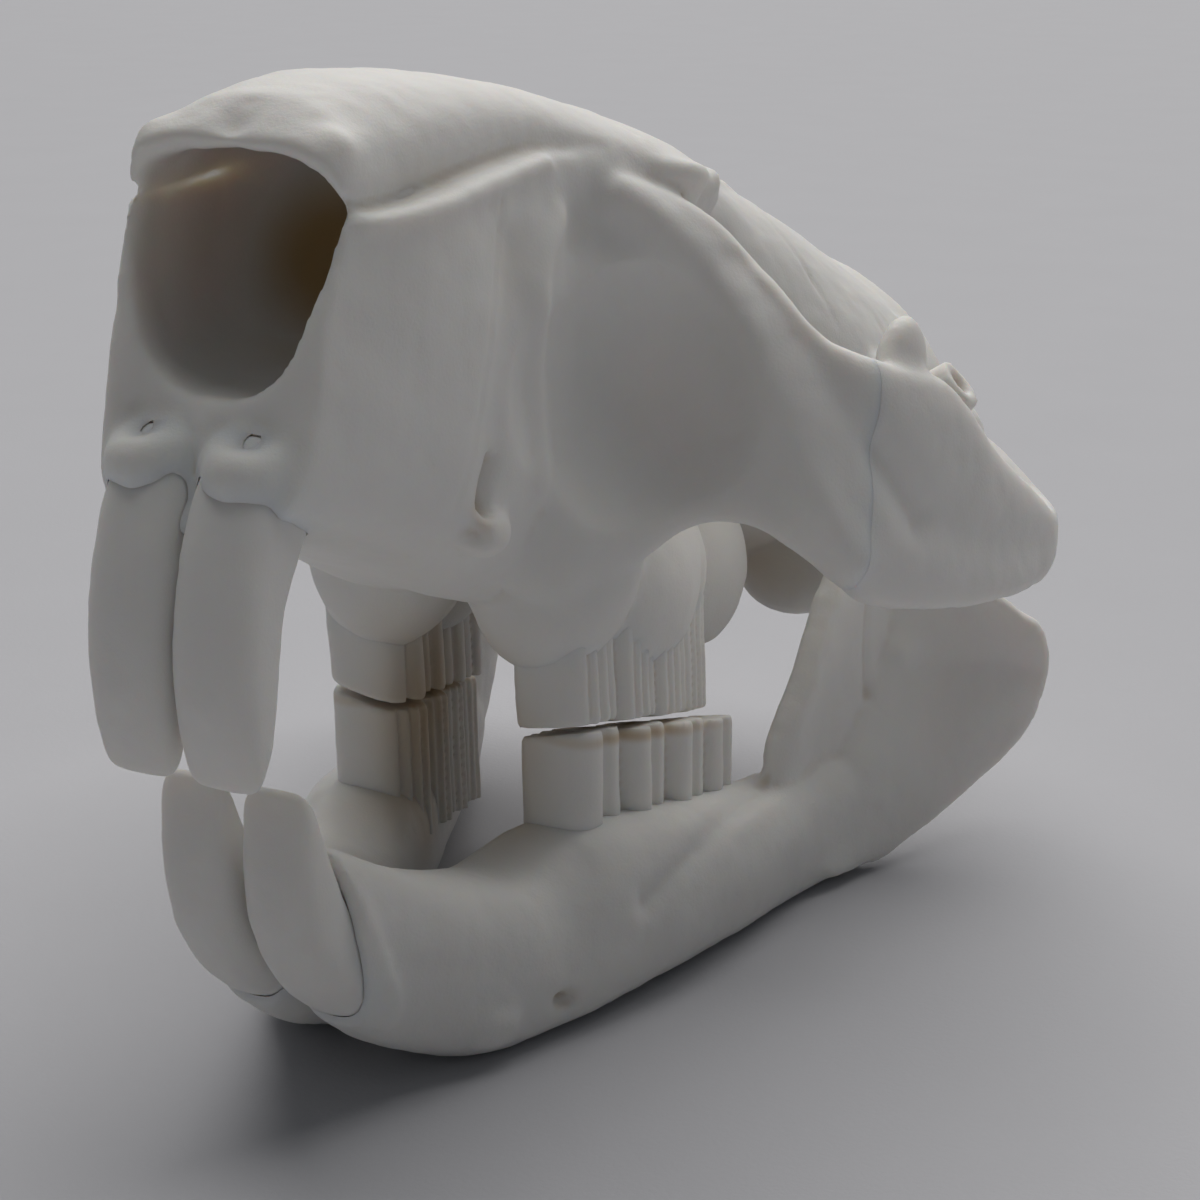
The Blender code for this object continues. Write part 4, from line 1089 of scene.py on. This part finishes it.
def table_material(stage):
    """Pale sheet with a faint fibre grain."""
    mat = bpy.data.materials.new("pale_table")
    mat.use_nodes = True
    tree = mat.node_tree
    shader = tree.nodes["Principled BSDF"]
    shader.inputs["Roughness"].default_value = 0.8
    drift = group_node(tree, drift_group(), {"Patch Size": 0.03, "Amount": 0.05})
    tone = add_node(tree, "ShaderNodeVectorMath", operation="SCALE")
    tone.inputs[0].default_value = stage.floor_colour
    tree.links.new(drift.outputs["Tone"], tone.inputs["Scale"])
    tree.links.new(tone.outputs[0], shader.inputs["Base Color"])
    grain_node = group_node(tree, grain_group(), {"Cell Size": 0.0006, "Lumps": 0.3})
    bump = add_node(tree, "ShaderNodeBump", {"Strength": 0.6, "Distance": 0.00006})
    tree.links.new(grain_node.outputs["Height"], bump.inputs["Height"])
    tree.links.new(bump.outputs["Normal"], shader.inputs["Normal"])
    return mat


class SKULL_OT_bones(Operator):
    """Build the skull and its two cheek arches"""
    bl_idname = "skull.build_bones"
    bl_label = "Skull and Cheek Arches"

    def execute(self, context):
        sizes = context.scene.skull_sizes
        bone = plastic_material("white_bone_plastic", context.scene.skull_plastic)
        skull = skull_clay(sizes)
        slabs = [cut_slab("front_cut", ARCH_FRONT_CUT, 0.02), cut_slab("back_cut", ARCH_BACK_CUT, 0.02)]
        boolean(skull, "DIFFERENCE", both_sides(slabs))
        for side, sign in (("left", 1), ("right", -1)):
            arch = link(bpy.data.objects.new(f"cheek_arch_{side}", skull.data.copy()))
            keep_side_piece(arch, sign)
            store_painted_glow(arch, CRANIUM_PAINTED_GLOW)
            stand_on_table(arch)
            dress(arch, bone, f"zygomatic_arch_{side}")
        keep_largest(skull)
        sockets = both_sides([incisor_piece("upper_socket", UPPER_INCISOR, 1, sizes.socket_gap / MM)])
        boolean(skull, "DIFFERENCE", sockets)
        keep_largest(skull)
        store_painted_glow(skull, CRANIUM_PAINTED_GLOW)
        stand_on_table(skull)
        dress(skull, bone, "cranium")
        return {"FINISHED"}


class SKULL_OT_jaws(Operator):
    """Build the two halves of the lower jaw"""
    bl_idname = "skull.build_jaws"
    bl_label = "Lower Jaw"

    def execute(self, context):
        sizes = context.scene.skull_sizes
        bone = plastic_material("white_bone_plastic", context.scene.skull_plastic)
        jaw = jaw_body_piece()
        jaw.name = "jaw_bone_left"
        pieces = [jaw_ramus_piece(), jaw_angle_piece()]
        pieces += [lump(name, *shape) for name, shape in JAW_LUMPS.items()]
        boolean(jaw, "UNION", pieces)
        blend(jaw, sizes.jaw_voxel_mm, 0.9)
        keep_largest(jaw)
        carving = Carving(jaw, sizes.carving)
        carving.lines(JAW_LINES)
        carving.spots(JAW_SPOTS)
        carving.pitting(sizes.pitting / MM, 11)
        carving.finish()
        socket = incisor_piece("lower_socket", LOWER_INCISOR, -1, sizes.socket_gap / MM)
        boolean(jaw, "DIFFERENCE", [socket])
        keep_largest(jaw)
        store_painted_glow(jaw, JAW_PAINTED_GLOW)
        other = mirrored(jaw)
        for half, side in ((jaw, "left"), (other, "right")):
            stand_on_table(half)
            dress(half, bone, f"mandible_{side}")
        return {"FINISHED"}


class SKULL_OT_cheek_teeth(Operator):
    """Build the four rows of folded cheek teeth"""
    bl_idname = "skull.build_cheek_teeth"
    bl_label = "Cheek Teeth"

    def execute(self, context):
        sizes = context.scene.skull_sizes
        enamel = plastic_material("white_tooth_plastic", context.scene.skull_plastic, grain=0.7)
        rows = (("upper", UPPER_TEETH, UPPER_TOOTH_Z, UPPER_TOOTH_LEAN_MM, UPPER_FOLDS),
                ("lower", LOWER_TEETH, LOWER_TOOTH_Z, LOWER_TOOTH_LEAN_MM, LOWER_FOLDS))
        for jaw, table, z_range, lean, folds in rows:
            pieces = tooth_pieces(f"{jaw}_cheek_tooth", table, z_range, lean, folds)
            row = pieces[0]
            row.name = f"{jaw}_cheek_teeth_left"
            boolean(row, "UNION", pieces[1:])
            blend(row, sizes.tooth_voxel_mm, 0.3)
            keep_largest(row)
            carving = Carving(row, sizes.carving)
            carving.pitting(sizes.pitting / MM * 0.6, 21)
            carving.finish()
            store_painted_glow(row, TOOTH_PAINTED_GLOW)
            other = mirrored(row)
            for half in (row, other):
                stand_on_table(half)
                dress(half, enamel)
        return {"FINISHED"}


class SKULL_OT_incisors(Operator):
    """Build the four front teeth"""
    bl_idname = "skull.build_incisors"
    bl_label = "Front Teeth"

    def execute(self, context):
        sizes = context.scene.skull_sizes
        enamel = plastic_material("white_tooth_plastic", context.scene.skull_plastic, grain=0.7)
        for jaw, table, front in (("upper", UPPER_INCISOR, 1), ("lower", LOWER_INCISOR, -1)):
            tooth = incisor_piece(f"{jaw}_front_tooth_left", table, front, 0.0)
            blend(tooth, sizes.tooth_voxel_mm, 0.5)
            carving = Carving(tooth, sizes.carving)
            carving.pitting(sizes.pitting / MM * 0.8, 31)
            carving.finish()
            store_painted_glow(tooth, TOOTH_PAINTED_GLOW)
            other = mirrored(tooth)
            for half, side in ((tooth, "left"), (other, "right")):
                stand_on_table(half)
                dress(half, enamel, f"incisor_{jaw}_{side}")
        return {"FINISHED"}


class SKULL_OT_stage(Operator):
    """Set the table top, the soft lights and the camera"""
    bl_idname = "skull.build_stage"
    bl_label = "Stage"

    def execute(self, context):
        stage = context.scene.skull_stage
        self.table(stage)
        self.lights(context, stage)
        self.camera(context, stage)
        return {"FINISHED"}

    def table(self, stage):
        half = stage.floor_size / 2
        mesh = bpy.data.meshes.new("table_top")
        corners = [(-half, -half, 0), (half, -half, 0), (half, half, 0), (-half, half, 0)]
        mesh.from_pydata(corners, [], [(0, 1, 2, 3)])
        mesh.materials.append(table_material(stage))
        link(bpy.data.objects.new("table_top", mesh))

    def lights(self, context, stage):
        world = bpy.data.worlds.new("room")
        world.use_nodes = True
        back = world.node_tree.nodes["Background"]
        back.inputs["Color"].default_value = (0.90, 0.95, 1.0, 1.0)
        back.inputs["Strength"].default_value = stage.room_strength
        context.scene.world = world
        context.scene.view_settings.view_transform = "Standard"
        lamp = bpy.data.lights.new("main_light", "SUN")
        lamp.energy = stage.key_strength
        lamp.angle = stage.key_spread
        lamp.color = (1.0, 0.985, 0.965)
        obj = link(bpy.data.objects.new("main_light", lamp))
        obj.rotation_euler = Vector(MAIN_LIGHT_FROM).to_track_quat("Z", "Y").to_euler()

    def camera(self, context, stage):
        lens = bpy.data.cameras.new("photo_camera")
        lens.sensor_width = 36.0
        lens.lens = stage.lens_mm
        lens.clip_start = 0.01
        lens.clip_end = 20.0
        obj = link(bpy.data.objects.new("photo_camera", lens))
        obj.location = Vector(CAMERA_MM) * MM
        a = stage.turn
        e = stage.rise
        back = Vector((math.sin(a) * math.cos(e), -math.cos(a) * math.cos(e), math.sin(e)))
        obj.rotation_euler = back.to_track_quat("Z", "Y").to_euler()
        context.scene.camera = obj


class SKULL_PT_panel(Panel):
    """Sidebar list of the steps that build the model"""
    bl_idname = "SKULL_PT_panel"
    bl_label = "Beaver Skull"
    bl_space_type = "VIEW_3D"
    bl_region_type = "UI"
    bl_category = "Beaver Skull"

    def draw(self, context):
        for operator in OPERATORS:
            self.layout.operator(operator.bl_idname)
        for holder in ("skull_sizes", "skull_plastic", "skull_stage"):
            group = getattr(context.scene, holder)
            box = self.layout.box()
            for key in group.__annotations__:
                box.prop(group, key)


OPERATORS = (SKULL_OT_bones, SKULL_OT_jaws, SKULL_OT_cheek_teeth, SKULL_OT_incisors, SKULL_OT_stage)
CLASSES = (SkullSizes, SkullPlastic, SkullStage) + OPERATORS + (SKULL_PT_panel,)


def register():
    for item in CLASSES:
        bpy.utils.register_class(item)
    bpy.types.Scene.skull_sizes = PointerProperty(type=SkullSizes)
    bpy.types.Scene.skull_plastic = PointerProperty(type=SkullPlastic)
    bpy.types.Scene.skull_stage = PointerProperty(type=SkullStage)


def unregister():
    del bpy.types.Scene.skull_sizes
    del bpy.types.Scene.skull_plastic
    del bpy.types.Scene.skull_stage
    for item in reversed(CLASSES):
        bpy.utils.unregister_class(item)


def main():
    """Build every piece."""
    register()
    for operator in OPERATORS:
        group, name = operator.bl_idname.split(".")
        getattr(getattr(bpy.ops, group), name)()


if __name__ == "__main__":
    main()
